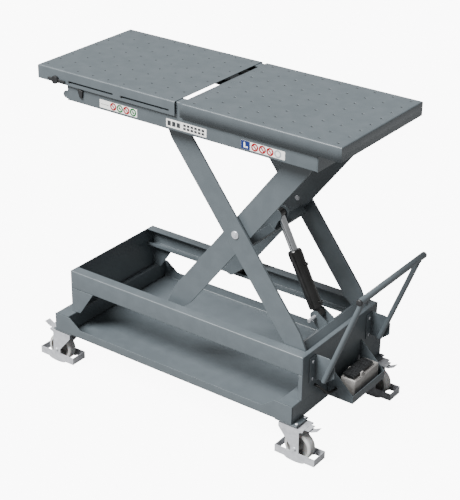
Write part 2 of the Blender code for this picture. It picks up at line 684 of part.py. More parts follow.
def build_deck(name, x0, x1, open_end, x_hole):
    """Sheet with skirts on three sides; open_end is the end where the two decks meet."""
    w, t = DECK_HALF_W, DECK_T
    skirt_z = DECK_Z1 - DECK_SKIRT
    section = channel([(-w, skirt_z), (-w, DECK_Z1), (w, DECK_Z1), (w, skirt_z)], -t)
    deck = plate(name, section, "X", x0, x1, SLATE)
    x_end = x1 if open_end < 0 else x0
    e0, e1 = sorted((x_end, x_end + open_end * t))
    join(deck, box("end_skirt", (e0, -w + t / 2, skirt_z), (e1, w - t / 2, DECK_Z1 - t / 2)))
    return cut(deck, perforation(x_hole))


def build_sliding_deck():
    """Deck that slides out to the left; its front and rear skirts are slotted for guide pins."""
    deck = build_deck("sliding_deck", SLIDE_X0, SLIDE_X1, 1, SLIDE_X0 + SLIDE_HOLE_INSET)
    z = DECK_Z1 - SLOT_DROP
    for start, end in (SLOT_A, SLOT_B):
        cut(deck, box("slot", (SLIDE_X0 + start, -DECK_HALF_W - 0.01, z - SLOT_H / 2),
                      (SLIDE_X0 + end, DECK_HALF_W + 0.01, z + SLOT_H / 2)))
    return set_origin(deck, (SLIDE_X0, 0.0, DECK_Z1))


def build_guide_pin(name, x, side):
    """Shouldered guide pin on the top frame, standing in a slot of the sliding deck."""
    z = DECK_Z1 - SLOT_DROP
    return rod(name, (x, side * (RAIL_HALF_W + GAP), z), (x, side * (DECK_HALF_W + 0.004), z),
               GUIDE_PIN_R, PLASTIC, 12)


def build_clamp_lever():
    """Flat black lever with a round knob that clamps the sliding deck, in front of its skirt."""
    z = DECK_Z1 - SLOT_DROP - 0.004
    x = SLIDE_X0 + CLAMP_INSET
    y0 = -DECK_HALF_W - GAP
    knob = rod("clamp_lever", (x, y0, z), (x, y0 - 0.016, z), CLAMP_R, PLASTIC, 20)
    bar = box("bar", (x - 0.050, y0 - 0.010, z - 0.006), (x + 0.062, y0 - 0.003, z + 0.006))
    return set_origin(join(knob, bar), (x, y0, z))


def build_lock_knob():
    """Wedge shaped thumb knob on the top frame's front web."""
    x, z = FRAME_X0 + LOCK_INSET, FRAME_Z1 - LOCK_DROP
    y0 = -RAIL_HALF_W - GAP
    outline = [(x - 0.022, z + 0.026), (x + 0.016, z + 0.018), (x + 0.010, z - 0.022),
               (x - 0.004, z - 0.024)]
    knob = plate("lock_knob", outline, "Y", y0 - LOCK_OUT, y0, PLASTIC)
    return set_origin(knob, (x, y0, z))


# ---------------------------------------------------------------- push handle
def bezier(start, pull_a, pull_b, finish, steps):
    """Points on a cubic curve that leaves start towards pull_a and reaches finish from pull_b."""
    ratios = [i / steps for i in range(steps + 1)]
    return [(1 - u) ** 3 * start + 3 * u * (1 - u) ** 2 * pull_a + 3 * u * u * (1 - u) * pull_b
            + u ** 3 * finish for u in ratios]


def tube_mesh(name, points, radius, mat=None, resolution=4):
    """Round bar along a path, made from a bevelled curve and welded shut."""
    curve = bpy.data.curves.new(name, "CURVE")
    curve.dimensions = "3D"
    curve.bevel_depth = radius
    curve.bevel_resolution = resolution
    curve.use_fill_caps = True
    spline = curve.splines.new("POLY")
    spline.points.add(len(points) - 1)
    for point, co in zip(spline.points, points):
        point.co = (*co, 1.0)
    guide = bpy.data.objects.new(name + "_path", curve)
    parts.objects.link(guide)
    bpy.context.view_layer.update()
    ready = guide.evaluated_get(bpy.context.evaluated_depsgraph_get())
    mesh = bpy.data.meshes.new_from_object(ready)
    bm = bmesh.new()
    bm.from_mesh(mesh)
    bpy.data.objects.remove(guide, do_unlink=True)
    bpy.data.meshes.remove(mesh)
    return finish_mesh(name, bm, mat)


def build_handle():
    """Cross bar welded on two slanted legs."""
    reach = HANDLE_HALF - CAP_L - GAP
    bar = rod("handle", (BAR_X, HANDLE_Y - reach, BAR_Z), (BAR_X, HANDLE_Y + reach, BAR_Z), BAR_R,
              SLATE)
    for _, side in SIDES:
        y = HANDLE_Y + side * LEG_HALF
        join(bar, rod("leg", (FOOT_X, y, FOOT_Z), (BAR_X - 0.003, y, BAR_Z - 0.003), LEG_R))
    return smooth(bar)


def build_handle_cap(name, side):
    end = HANDLE_Y + side * HANDLE_HALF
    start = end - side * CAP_L
    return rod("handle_cap_" + name, (BAR_X, start, BAR_Z), (BAR_X, end, BAR_Z), BAR_R, PLASTIC)


def build_bracket(name, side):
    """Ear beside the leg's foot, folded from a flange that is bolted to the end plate."""
    y_leg = HANDLE_Y + side * LEG_HALF
    y = y_leg + LEG_R + GAP
    x = END_X + GAP
    z0 = FOOT_Z - 0.010
    z1 = z0 + BRACKET_H
    ear = plate("handle_bracket_" + name,
                [(x, z0), (FOOT_X + 0.005, z0), (FOOT_X + 0.050, z0 + 0.038),
                 (FOOT_X + 0.050, z1 - 0.035), (FOOT_X + 0.020, z1), (x, z1)],
                "Y", y, y + BRACKET_T, SLATE)
    flange = box("flange", (x, y - 0.055, z0), (x + BRACKET_T, y + 0.002, z1))
    join(ear, flange)
    for z in (FOOT_Z + 0.006, FOOT_Z + 0.104):
        join(ear, rod("bolt", (x + BRACKET_T - 0.001, y - 0.030, z),
                      (x + BRACKET_T + 0.006, y - 0.030, z), BOLT_R, segments=6))
    return ear


# ---------------------------------------------------------------- foot pump
def build_cage():
    """Open cage bolted to the end plate: two triangular sides, a floor and a front lip."""
    x0, x1 = END_X + GAP, END_X + CAGE_OUT
    t = CAGE_T
    side_outline = [(x0, CAGE_Z0), (x1, CAGE_Z0), (x1, CAGE_Z0 + CAGE_LIP), (x0, CAGE_Z0 + CAGE_H)]
    cage = box("pump_cage", (x0, CAGE_Y0, CAGE_Z0), (x1, CAGE_Y1, CAGE_Z0 + t), SLATE)
    for y in (CAGE_Y0, CAGE_Y1 - t):
        join(cage, plate("cage_side", side_outline, "Y", y, y + t))
    join(cage, box("cage_lip", (x1 - t, CAGE_Y0 + t / 2, CAGE_Z0 + t / 2),
                   (x1, CAGE_Y1 - t / 2, CAGE_Z0 + CAGE_LIP)))
    return cage


def build_pump():
    """Cast pump body lying along Y in the cage, with the two posts that carry the pedal."""
    x0, x1 = END_X + PUMP_IN, END_X + PUMP_OUT
    body = box("foot_pump", (x0, PUMP_Y0, PUMP_Z0), (x1, PUMP_Y1, PUMP_Z1), CAST)
    bevel = body.modifiers.new("cast_edges", "BEVEL")
    bevel.width = 0.008
    bevel.segments = 2
    for x in (x0 + 0.004, x1 - 0.012):
        post = plate("post", [(PEDAL_Y - 0.014, PUMP_Z1 - 0.004), (PEDAL_Y + 0.014, PUMP_Z1 - 0.004),
                              (PEDAL_Y + 0.010, PUMP_Z1 + 0.020), (PEDAL_Y - 0.010, PUMP_Z1 + 0.020)],
                     "X", x, x + 0.008)
        join(body, post)
    return body


def build_pedal():
    """Ribbed rocking pedal that pivots between the pump's two posts."""
    x0, x1 = END_X + PUMP_IN + 0.013, END_X + PUMP_OUT - 0.013
    z0 = PUMP_Z1 + 0.012
    pedal = box("foot_pedal", (x0, PUMP_Y0 + 0.002, z0), (x1, PEDAL_Y + 0.118, z0 + PEDAL_T - 0.004),
                PLASTIC)
    pitch = (PEDAL_Y + 0.112 - PUMP_Y0) / PEDAL_RIBS
    for i in range(PEDAL_RIBS):
        y = PUMP_Y0 + 0.006 + i * pitch
        join(pedal, box("rib", (x0 + 0.003, y, z0 + 0.008), (x1 - 0.003, y + 0.006, z0 + PEDAL_T)))
    return set_origin(pedal, (0.0, PEDAL_Y, z0 + 0.004))


def build_hose():
    """Short hydraulic hose from the cage's front side, round and into the base's end plate."""
    start = Vector((END_X + 0.050, CAGE_Y0 - 2 * GAP, CAGE_Z0 + 0.058))
    finish = Vector((END_X + 2 * GAP, CAGE_Y0 - 0.130, CAGE_Z0 + 0.128))
    pulls = (start - Vector((0.0, 0.110, 0.0)), finish + Vector((0.070, 0.0, 0.0)))
    return tube_mesh("pump_hose", bezier(start, *pulls, finish, 16), HOSE_R, RUBBER, 2)


# ---------------------------------------------------------------- casters
CASTERS = [(end_name + "_" + side_name,
            (TRAY_X0 + CASTER_INSET_LEFT) if end < 0 else (TRAY_X1 - CASTER_INSET_RIGHT),
            side * (TRAY_HALF_W - CASTER_INSET_Y), end)
           for end_name, end in ENDS for side_name, side in SIDES]


def build_caster_plate(tag, cx, cy, end):
    """Mounting plate: two bolts beyond the tray's end, two underneath, and the swivel race."""
    top = CASTER_H - GAP
    base = box("caster_plate_" + tag, (cx - PLATE_L / 2, cy - PLATE_W / 2, top - PLATE_T),
               (cx + PLATE_L / 2, cy + PLATE_W / 2, top), SLATE)
    for dy in (-1, 1):
        y = cy + dy * BOLT_Y
        outer = cx + end * (PLATE_L / 2 - BOLT_R - 0.002)
        inner = cx - end * (CROWN_BACK + BOLT_R + 0.002)
        join(base, rod("bolt", (outer, y, top - 0.001), (outer, y, top + 0.005), BOLT_R,
                       segments=6))
        join(base, rod("bolt", (inner, y, top - PLATE_T - 0.005), (inner, y, top - PLATE_T + 0.001),
                       BOLT_R, segments=6))
    race = rod("race", (cx, cy, CROWN_Z + GAP), (cx, cy, top - PLATE_T + 0.001), 0.034,
               segments=20)
    return join(base, race)


def fork_outline(cx, end):
    """Side plate of a caster: crown, leg to the axle, and the foot guard with its round belly."""
    t = CASTER_TRAIL
    belly = [(t - 0.06 * cos(pi * i / 8), GUARD_Z0 - 0.0005 - 0.0135 * sin(pi * i / 8))
             for i in range(9)]
    local = ([(t - GUARD_HALF_L, GUARD_Z0)] + belly
             + [(t + GUARD_HALF_L, GUARD_Z0), (t + GUARD_HALF_L, GUARD_Z1), (t + 0.024, GUARD_Z1),
                (t + 0.022, CROWN_Z - 0.018), (t + 0.044, CROWN_Z - 0.010), (t + 0.044, CROWN_Z),
                (-CROWN_BACK, CROWN_Z), (-CROWN_BACK, CROWN_Z - 0.024), (t - 0.024, WHEEL_Z + 0.006),
                (t - 0.024, GUARD_Z1),
                (t - GUARD_HALF_L, GUARD_Z1)])
    return [(cx + end * x, z) for x, z in local]


def build_fork(tag, cx, cy, end):
    """Swivel fork with crown, axle, foot guard ring and the fixed brake plate."""
    outline = fork_outline(cx, end)
    y0, y1 = cy - FORK_OUT, cy + FORK_OUT
    fork = plate("caster_fork_" + tag, outline, "Y", y0, y0 + FORK_T, ZINC)
    join(fork, plate("fork_side", outline, "Y", y1 - FORK_T, y1))

    def local_box(name, x0, x1, half, za, zb):
        xs = sorted((cx + end * x0, cx + end * x1))
        return box(name, (xs[0], cy - half, za), (xs[1], cy + half, zb))

    inner = FORK_OUT - FORK_T / 2
    t = CASTER_TRAIL
    step = 0.0005             # the cross pieces sit a little inside the side plates' edges
    join(fork, local_box("crown", step - CROWN_BACK, t + 0.044 - step, inner, CROWN_Z - 0.006,
                         CROWN_Z - step))
    for sign in (-1, 1):
        x0, x1 = t + sign * (GUARD_HALF_L - step), t + sign * (GUARD_HALF_L - FORK_T)
        join(fork, local_box("guard_end", x0, x1, inner, GUARD_Z0 + step, GUARD_Z1 - step))
    join(fork, local_box("brake_plate", t + 0.036, t + 0.067, 0.030, CROWN_Z - 0.0045,
                         CROWN_Z - 0.0015))
    axle_x = cx + end * t
    join(fork, rod("axle", (axle_x, y0 - 0.006, WHEEL_Z), (axle_x, y1 + 0.006, WHEEL_Z), AXLE_R,
                   segments=12))
    return set_origin(fork, (cx, cy, 0.0))


def build_wheel(tag, cx, cy, end):
    """Solid nylon wheel: hub, web, rim step and crowned tread."""
    r, half = WHEEL_R, WHEEL_W / 2
    bore = AXLE_R + RUN
    profile = [(bore, HUB_HALF), (0.016, HUB_HALF), (0.018, half - 0.008), (r - 0.022, half - 0.010),
               (r - 0.018, half), (r - 0.008, half), (r, half - 0.010),
               (r, 0.010 - half), (r - 0.008, -half), (r - 0.018, -half),
               (r - 0.022, 0.010 - half), (0.018, 0.008 - half), (0.016, -HUB_HALF),
               (bore, -HUB_HALF)]
    wheel = turned("caster_wheel_" + tag, profile, (cx + end * CASTER_TRAIL, cy, WHEEL_Z),
                   (0, 1, 0), NYLON, WHEEL_STEPS)
    return smooth(wheel)


def build_brake(tag, cx, cy, end):
    """Thin brake blade under the brake plate, turned up at its tip."""
    z = CROWN_Z - 0.012
    hinge = CASTER_TRAIL + BRAKE_HINGE
    points = [(hinge, z - 0.002), (hinge + 0.025, z), (hinge + 0.060, z + 0.018)]
    outline = [(cx + end * x, zz) for x, zz in channel(points, BRAKE_T)]
    blade = plate("caster_brake_" + tag, outline, "Y", cy - 0.020, cy + 0.020, ZINC)
    return set_origin(blade, (cx + end * hinge, cy, z))


# ---------------------------------------------------------------- assembly
build_tray()
for side_name, side in SIDES:
    build_rail(side_name, side)
for end_name, end in ENDS:
    build_end_plate(end_name, end)
for side_name, side in SIDES:
    build_outer_arm(side_name, side)
    build_inner_arm(side_name, side)
    build_roller("lower_roller_" + side_name, (ROLLER_X, PIVOT_Z), side, NYLON)
    build_roller("upper_roller_" + side_name, (ROLLER_X, UPPER_Z), side, NYLON)
    build_centre_pin(side_name, side)
    build_pivot_pin("lower_pivot_" + side_name, (FIXED_PIVOT_X, PIVOT_Z), side, OUTER_ARM_Y,
                    RAIL_T)
    build_pivot_pin("upper_pivot_" + side_name, (FIXED_PIVOT_X, UPPER_Z), side, INNER_ARM_Y,
                    TRACK_T)
build_outer_cross_beam()
build_inner_cross_beam()
build_barrel()
build_rod()
build_cylinder_pin()
for side_name, side in SIDES:
    build_frame_rail(side_name, side)
for end_name, end in ENDS:
    build_frame_end(end_name, end)
build_deck("fixed_deck", FIXED_X0, FIXED_X1, -1, FIXED_X0 + FIXED_HOLE_INSET)
build_sliding_deck()
for pin_name, slot in (("a", SLOT_A), ("b", SLOT_B)):
    build_guide_pin("guide_pin_" + pin_name, SLIDE_X0 + slot[0] + 0.008, -1)
build_clamp_lever()
build_lock_knob()
build_handle()
for side_name, side in SIDES:
    build_handle_cap(side_name, side)
    build_bracket(side_name, side)
build_cage()
build_pump()
build_pedal()
build_hose()
for caster in CASTERS:
    build_caster_plate(*caster)
    build_fork(*caster)
    build_wheel(*caster)
    build_brake(*caster)
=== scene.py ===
# %% [markdown]
# # A mobile scissor lift table
# The real table is sheet steel, laser cut, folded on a press brake, welded and powder coated.
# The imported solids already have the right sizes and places.  This script gives them the looks:
# bend radii, round holes, bolts, turned parts, and a finish for each material.

# %% Load the fixed frame
import json

import bmesh
import bpy
import numpy as np
from mathutils import Matrix, Vector

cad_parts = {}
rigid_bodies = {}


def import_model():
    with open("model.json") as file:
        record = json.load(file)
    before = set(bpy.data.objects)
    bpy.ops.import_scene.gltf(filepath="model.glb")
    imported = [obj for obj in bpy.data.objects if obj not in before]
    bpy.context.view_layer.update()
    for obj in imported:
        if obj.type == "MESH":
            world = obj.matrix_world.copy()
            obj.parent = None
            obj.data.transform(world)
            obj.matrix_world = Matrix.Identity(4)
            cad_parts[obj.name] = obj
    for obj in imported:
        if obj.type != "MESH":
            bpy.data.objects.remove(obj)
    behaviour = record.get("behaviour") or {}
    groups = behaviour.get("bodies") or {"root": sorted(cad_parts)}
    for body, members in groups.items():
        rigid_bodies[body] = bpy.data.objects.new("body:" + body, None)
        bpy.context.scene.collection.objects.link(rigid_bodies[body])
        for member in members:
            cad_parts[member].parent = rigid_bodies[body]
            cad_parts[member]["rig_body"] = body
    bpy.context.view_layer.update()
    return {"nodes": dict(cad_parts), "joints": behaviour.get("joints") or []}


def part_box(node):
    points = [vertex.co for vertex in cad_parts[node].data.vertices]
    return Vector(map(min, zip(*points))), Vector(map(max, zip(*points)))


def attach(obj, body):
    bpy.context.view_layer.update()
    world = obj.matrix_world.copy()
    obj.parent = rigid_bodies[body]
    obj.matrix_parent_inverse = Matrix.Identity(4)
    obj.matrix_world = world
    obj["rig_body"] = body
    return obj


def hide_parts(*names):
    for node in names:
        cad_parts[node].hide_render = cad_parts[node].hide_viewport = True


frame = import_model()

# %% [markdown]
# ## The camera
# A long lens from the front right corner, above the deck, as in a catalogue.  The camera is
# given as a place and three turns: yaw about the vertical, pitch below level, and a little roll.

# %% Camera
CAMERA_PLACE = (3.724, -5.183, 4.030)
YAW, PITCH, ROLL = np.radians([35.632, 26.876, 0.805])
LENS_MM, SENSOR_MM = 98.3, 36.0

ahead = np.array([-np.sin(YAW) * np.cos(PITCH), np.cos(YAW) * np.cos(PITCH), -np.sin(PITCH)])
level = np.array([np.cos(YAW), np.sin(YAW), 0.0])
above = np.cross(level, ahead)
right = np.cos(ROLL) * level + np.sin(ROLL) * above
up = -np.sin(ROLL) * level + np.cos(ROLL) * above

lens = bpy.data.cameras.new("camera")
lens.lens, lens.sensor_width = LENS_MM, SENSOR_MM
camera = bpy.data.objects.new("camera", lens)
bpy.context.scene.collection.objects.link(camera)
camera.matrix_world = Matrix([[*row, place] for row, place in
                              zip(np.stack([right, up, -ahead], 1).tolist(), CAMERA_PLACE)]
                             + [[0, 0, 0, 1]])
bpy.context.scene.camera = camera
print("camera", [round(v, 2) for v in camera.location])

# %% [markdown]
# ## Colours and nodes
# Colours are written as sRGB hex, the way a paint card gives them.  A shader needs linear values,
# and converting them in one function keeps every finish on the same scale.  Another function adds a
# node, sets it and links its inputs, so that a material reads as a short list of steps.


# %% Colours, nodes and a plain finish
def linear(hex_code):
    """Each channel c of an sRGB colour becomes ((c + 0.055) / 1.055) ** 2.4, or c / 12.92 if dark."""
    c = np.array([int(hex_code[i:i + 2], 16) for i in (0, 2, 4)]) / 255
    return [*np.where(c <= 0.04045, c / 12.92, ((c + 0.055) / 1.055) ** 2.4).tolist(), 1.0]


def add_node(tree, kind, settings=(), **inputs):
    """Add a node, set its properties, and fill each named input with a value or a link."""
    node = tree.nodes.new(kind)
    for key, value in dict(settings).items():
        setattr(node, key, value)
    for key, value in inputs.items():
        socket = node.inputs[key.replace("_", " ")]
        if isinstance(value, bpy.types.NodeSocket):
            tree.links.new(value, socket)
        else:
            socket.default_value = value
    return node


def finish(name, hex_code, roughness, metallic=0.0, **sockets):
    """A Principled material with the values that are the same all over the surface."""
    mat = bpy.data.materials.new(name)
    mat.use_nodes = True
    shader = mat.node_tree.nodes["Principled BSDF"]
    shader.inputs["Base Color"].default_value = linear(hex_code)
    shader.inputs["Roughness"].default_value = roughness
    shader.inputs["Metallic"].default_value = metallic
    for key, value in sockets.items():
        shader.inputs[key.replace("_", " ")].default_value = value
    return mat, mat.node_tree, shader


print("mid grey as linear", round(linear("808080")[0], 3))

# %% [markdown]
# ## Patterns in a finish
# No real surface is quite even: its tone wanders, its gloss varies and it has a grain.  These could be
# painted images, but noise nodes on the Object coordinates need no unwrapping and stay the same size
# on every piece.  Each takes its size in millimetres.


# %% Mottle, gloss and grain
def per_metre(size_mm):
    """Scale of a noise whose blobs are this many millimetres across."""
    return 1000.0 / size_mm


def texture_place(tree, stretch=(1.0, 1.0, 1.0)):
    """Object coordinates, stretched along an axis where the finish has a direction."""
    coords = add_node(tree, "ShaderNodeTexCoord")
    return add_node(tree, "ShaderNodeMapping", Vector=coords.outputs["Object"], Scale=stretch)


def mottle(tree, shader, place, size_mm, hex_low, hex_high):
    """Colour that wanders between two tones with a soft noise of the given size."""
    noise = add_node(tree, "ShaderNodeTexNoise", Vector=place.outputs[0],
                     Scale=per_metre(size_mm), Detail=4.0)
    ramp = add_node(tree, "ShaderNodeValToRGB", Fac=noise.outputs["Fac"])
    ramp.color_ramp.elements[0].position, ramp.color_ramp.elements[1].position = 0.35, 0.65
    ramp.color_ramp.elements[0].color = linear(hex_low)
    ramp.color_ramp.elements[1].color = linear(hex_high)
    tree.links.new(ramp.outputs["Color"], shader.inputs["Base Color"])
    return noise


def rough_between(tree, shader, noise, low, high):
    """Roughness follows a noise between two values."""
    spread = add_node(tree, "ShaderNodeMapRange", Value=noise.outputs["Fac"],
                      From_Min=0.3, From_Max=0.7, To_Min=low, To_Max=high)
    tree.links.new(spread.outputs["Result"], shader.inputs["Roughness"])


def grain(tree, shader, place, size_mm, depth_mm, strength):
    """Bump from a fine noise: size across a grain and depth, both in millimetres."""
    noise = add_node(tree, "ShaderNodeTexNoise", Vector=place.outputs[0],
                     Scale=per_metre(size_mm), Detail=2.0)
    bump = add_node(tree, "ShaderNodeBump", Height=noise.outputs["Fac"], Strength=strength,
                    Distance=depth_mm / 1000)
    tree.links.new(bump.outputs["Normal"], shader.inputs["Normal"])


print("a 3 mm grain has a noise scale of", round(per_metre(3.0)))

# %% [markdown]
# ## Slate powder coat
# Polyester powder is sprayed on the welded steel and baked.  It melts into a satin skin with a
# fine orange peel, which spreads each highlight a little.  A flat grey would look like paper, so a
# slow change of tone and gloss lies under the peel.  The real peel is about 1 mm across; it is drawn
# at 3 mm so that it shows.


# %% Slate powder coat
def powder_coat():
    mat, tree, shader = finish("slate_powder_coat", "4E5559", 0.42)
    place = texture_place(tree)
    tone = mottle(tree, shader, place, 60, "4B5256", "4F565A")
    rough_between(tree, shader, tone, 0.33, 0.44)
    grain(tree, shader, place, 3.0, 0.10, 0.2)
    return mat


SLATE = powder_coat()
print("made", SLATE.name)

# %% [markdown]
# ## Zinc, chrome and cast aluminium
# Bright zinc plate is bluish white with faint cloudy patches, because the plating is uneven.
# Hard chrome is ground and polished, so its scratches run round the rod.  The pump is a blasted
# aluminium casting, grainy and dull.  All three use the same three patterns with other sizes,
# because the eye tells bare metals apart by their gloss and grain more than by their colour.


# %% Bare metals
def zinc_plate():
    mat, tree, shader = finish("bright_zinc_plate", "B4B6BB", 0.38, 0.35)
    place = texture_place(tree)
    tone = mottle(tree, shader, place, 25, "ABADB2", "BCBEC2")
    rough_between(tree, shader, tone, 0.30, 0.45)
    grain(tree, shader, place, 2.0, 0.05, 0.2)
    return mat


def hard_chrome():
    mat, tree, shader = finish("hard_chrome", "D4D7DA", 0.26, 1.0)
    grain(tree, shader, texture_place(tree, (1.0, 1.0, 12.0)), 6.0, 0.01, 0.12)
    return mat


def cast_aluminium():
    mat, tree, shader = finish("blasted_aluminium_casting", "989693", 0.5, 0.2)
    place = texture_place(tree)
    tone = mottle(tree, shader, place, 18, "8E8C89", "A19F9C")
    rough_between(tree, shader, tone, 0.42, 0.6)
    grain(tree, shader, place, 2.5, 0.25, 0.5)
    return mat


ZINC, CHROME, CAST = zinc_plate(), hard_chrome(), cast_aluminium()
print("made", ZINC.name, CHROME.name, CAST.name)

# %% [markdown]
# ## Plastics, enamel and rubber
# The wheels are cast nylon, milky and matt, with a slight glow under the surface that a little
# subsurface scattering gives.  Levers and caps are moulded black plastic with a fine spark-eroded
# grain.  The cylinder's barrel is gloss black enamel, which is a coat over paint, and the hose has a
# smooth rubber cover.  No black here is pure black, because real blacks still show their form.


# %% Plastics, enamel and rubber
def nylon(name, hex_low, hex_high):
    mat, tree, shader = finish(name, hex_low, 0.5, Subsurface_Weight=0.08, Subsurface_Scale=0.004)
    place = texture_place(tree)
    tone = mottle(tree, shader, place, 14, hex_low, hex_high)
    rough_between(tree, shader, tone, 0.42, 0.58)
    grain(tree, shader, place, 2.0, 0.05, 0.3)
    return mat


def moulded_black():
    mat, tree, shader = finish("moulded_black_plastic", "161718", 0.5)
    place = texture_place(tree)
    tone = mottle(tree, shader, place, 20, "131415", "1D1E20")
    rough_between(tree, shader, tone, 0.42, 0.58)
    grain(tree, shader, place, 1.5, 0.08, 0.4)
    return mat


def black_enamel():
    mat, tree, shader = finish("gloss_black_enamel", "171717", 0.30, Coat_Weight=0.3,
                               Coat_Roughness=0.12)
    place = texture_place(tree)
    tone = mottle(tree, shader, place, 60, "151515", "1A1A1A")
    rough_between(tree, shader, tone, 0.26, 0.34)
    grain(tree, shader, place, 4.0, 0.03, 0.1)
    return mat


def hose_rubber():
    mat, tree, shader = finish("hose_rubber", "101010", 0.5)
    place = texture_place(tree)
    tone = mottle(tree, shader, place, 12, "0C0C0C", "171717")
    rough_between(tree, shader, tone, 0.4, 0.6)
    return mat


# Two tones of one nylon: the paler tyre is a painted highlight for the light on the tread, and the darker
# core is painted shade on the wheels' sides
NYLON = nylon("cast_nylon", "6F6E6C", "7C7B79")
LIT_TREAD_NYLON = nylon("nylon_tyre_painted_highlight", "A2A2A1", "B0B0AF")
BLACK, ENAMEL, RUBBER = moulded_black(), black_enamel(), hose_rubber()
print("made", NYLON.name, LIT_TREAD_NYLON.name, BLACK.name, ENAMEL.name, RUBBER.name)


# %% [markdown]
# ## Surfaces as arrays
# Every new piece is an array of points.  A grid of points (rows, columns, 3) becomes quads; a
# closed row of points can be capped.  Working with whole arrays is faster than moving vertices one
# at a time, and the formula for a shape can be read in one line.


# %% Grids
def grid(points, wrap_rows=False, wrap_columns=False, cap=False):
    """Quads join point (i, j) to (i + 1, j), (i + 1, j + 1) and (i, j + 1); a cap closes each end row."""
    points = np.asarray(points, float)
    rows, columns = points.shape[:2]
    index = np.arange(rows * columns).reshape(rows, columns)
    if wrap_rows:
        index = np.concatenate([index, index[:1]])
    if wrap_columns:
        index = np.concatenate([index, index[:, :1]], 1)
    quads = np.stack([index[:-1, :-1], index[1:, :-1], index[1:, 1:], index[:-1, 1:]], -1)
    faces = quads.reshape(-1, 4).tolist()
    if cap:
        ring = np.arange(rows * columns).reshape(rows, columns)
        faces += [ring[0].tolist(), ring[-1][::-1].tolist()]
    return points.reshape(-1, 3), faces


flat_test = grid(np.zeros((3, 4, 3)))
print("a grid of 3 by 4 points has", len(flat_test[1]), "quads")

# %% [markdown]
# ## From arrays to pieces
# Several shapes are put into one mesh, merged where they touch, and turned to face outwards.  The
# piece then rides on a moving body of the frame and stands for the plain solids it replaces.  Where
# a solid's shape is already right, a copy of it gets rounded edges instead: no real edge is sharp,
# and a rounded one catches the light.


# %% Pieces, rounded edges and places
def together(shapes):
    """Lists of points and faces of several shapes, each shape's indices moved past the ones before."""
    starts = np.cumsum([0] + [len(points) for points, _ in shapes])
    faces = [[int(start) + i for i in face] for start, (_, some) in zip(starts, shapes)
             for face in some]
    return np.concatenate([points for points, _ in shapes]).tolist(), faces


def piece(name, shapes, mat, body, nodes=(), ease=0.0, angle=35.0, closed=True, weld=1e-5):
    """One object from several shapes, riding on a body and standing for the nodes it replaces."""
    points, faces = together(shapes)
    mesh = bpy.data.meshes.new(name)
    mesh.from_pydata(points, [], faces)
    bm = bmesh.new()
    bm.from_mesh(mesh)
    bmesh.ops.remove_doubles(bm, verts=bm.verts, dist=weld)
    bmesh.ops.dissolve_degenerate(bm, edges=bm.edges, dist=1e-6)
    if closed:
        bmesh.ops.recalc_face_normals(bm, faces=bm.faces)
    bm.to_mesh(mesh)
    bm.free()
    mesh.materials.append(mat)
    mesh.shade_smooth()
    mesh.set_sharp_from_angle(angle=np.radians(angle))
    obj = bpy.data.objects.new(name, mesh)
    bpy.context.scene.collection.objects.link(obj)
    if ease:
        soften(obj, ease)
    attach(obj, body)
    if nodes:
        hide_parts(*nodes)
    return obj


def soften(obj, width, segments=2):
    """Round every edge sharper than 30 degrees."""
    bevel = obj.modifiers.new("eased_edges", "BEVEL")
    bevel.width = width
    bevel.segments = segments
    bevel.limit_method = "ANGLE"
    bevel.angle_limit = np.radians(30)
    bevel.harden_normals = True
    return obj


def eased(node, mat, width, body=None):
    """A copy of a node whose triangles are merged to flat faces and whose edges are rounded."""
    source = frame["nodes"][node]
    bm = bmesh.new()
    bm.from_mesh(source.data)
    bmesh.ops.remove_doubles(bm, verts=bm.verts, dist=1e-6)
    bmesh.ops.dissolve_limit(bm, angle_limit=np.radians(1.0), verts=bm.verts, edges=bm.edges)
    mesh = bpy.data.meshes.new(node + "_shell")
    bm.to_mesh(mesh)
    bm.free()
    mesh.materials.append(mat)
    mesh.shade_smooth()
    mesh.set_sharp_from_angle(angle=np.radians(30))
    obj = bpy.data.objects.new(node + "_shell", mesh)
    bpy.context.scene.collection.objects.link(obj)
    soften(obj, width)
    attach(obj, source["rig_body"])
    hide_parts(node)
    return obj


def body_of(node):
    return frame["nodes"][node]["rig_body"]


def place_of(node):
    """Low corner, high corner and middle of a node, as arrays."""
    low, high = (np.array(corner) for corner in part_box(node))
    return low, high, (low + high) / 2


print("the tray's middle is", place_of("tray")[2].round(3), "on", body_of("tray"))

# %% [markdown]
# ## Turned and extruded shapes
# Pins, rollers, wheels and the cylinder are turned on a lathe: half of a section spins about an
# axis.  Rails and bars have the same section from end to end.  Both could be made with the Screw and
# Solidify modifiers, but as arrays their profiles can be worked out from the frame's own sizes.


# %% Turned shapes and extrusions
def turn_to(direction):
    """Matrix whose columns are two directions across and the given direction."""
    return np.array(Vector(direction).to_track_quat("Z", "Y").to_matrix())


def lathe(profile, centre, direction, steps=40, phase=0.0):
    """Profile (radius, height) turned about an axis: (r cos a, r sin a, h) for a round the circle."""
    profile = np.asarray(profile, float)
    a = np.linspace(0, 2 * np.pi, steps, endpoint=False)[:, None] + phase
    r, h = profile[None, :, 0], profile[None, :, 1]
    local = np.stack([r * np.cos(a), r * np.sin(a), h + 0 * a], -1)
    world = local @ turn_to(direction).T + np.asarray(centre, float)
    return grid(world, wrap_rows=True)


def turned_bar(start, end, radius, steps=32, chamfer=0.0015):
    """A round bar with chamfered ends."""
    start, end = np.asarray(start, float), np.asarray(end, float)
    length = np.linalg.norm(end - start)
    profile = [(0, 0), (radius - chamfer, 0), (radius, chamfer), (radius, length - chamfer),
               (radius - chamfer, length), (0, length)]
    return lathe(profile, start, end - start, steps)


AXES = {"X": (1, 2, 0), "Y": (0, 2, 1), "Z": (0, 1, 2)}


def extrusion(outline, axis, start, end):
    """A closed outline in the two other axes, repeated at both ends and capped."""
    outline = np.asarray(outline, float)
    rows = np.zeros((2, len(outline), 3))
    first, second, along = AXES[axis]
    rows[:, :, first], rows[:, :, second] = outline[:, 0], outline[:, 1]
    rows[0, :, along], rows[1, :, along] = start, end
    return grid(rows, wrap_columns=True, cap=True)


print("axes for an extrusion", list(AXES))

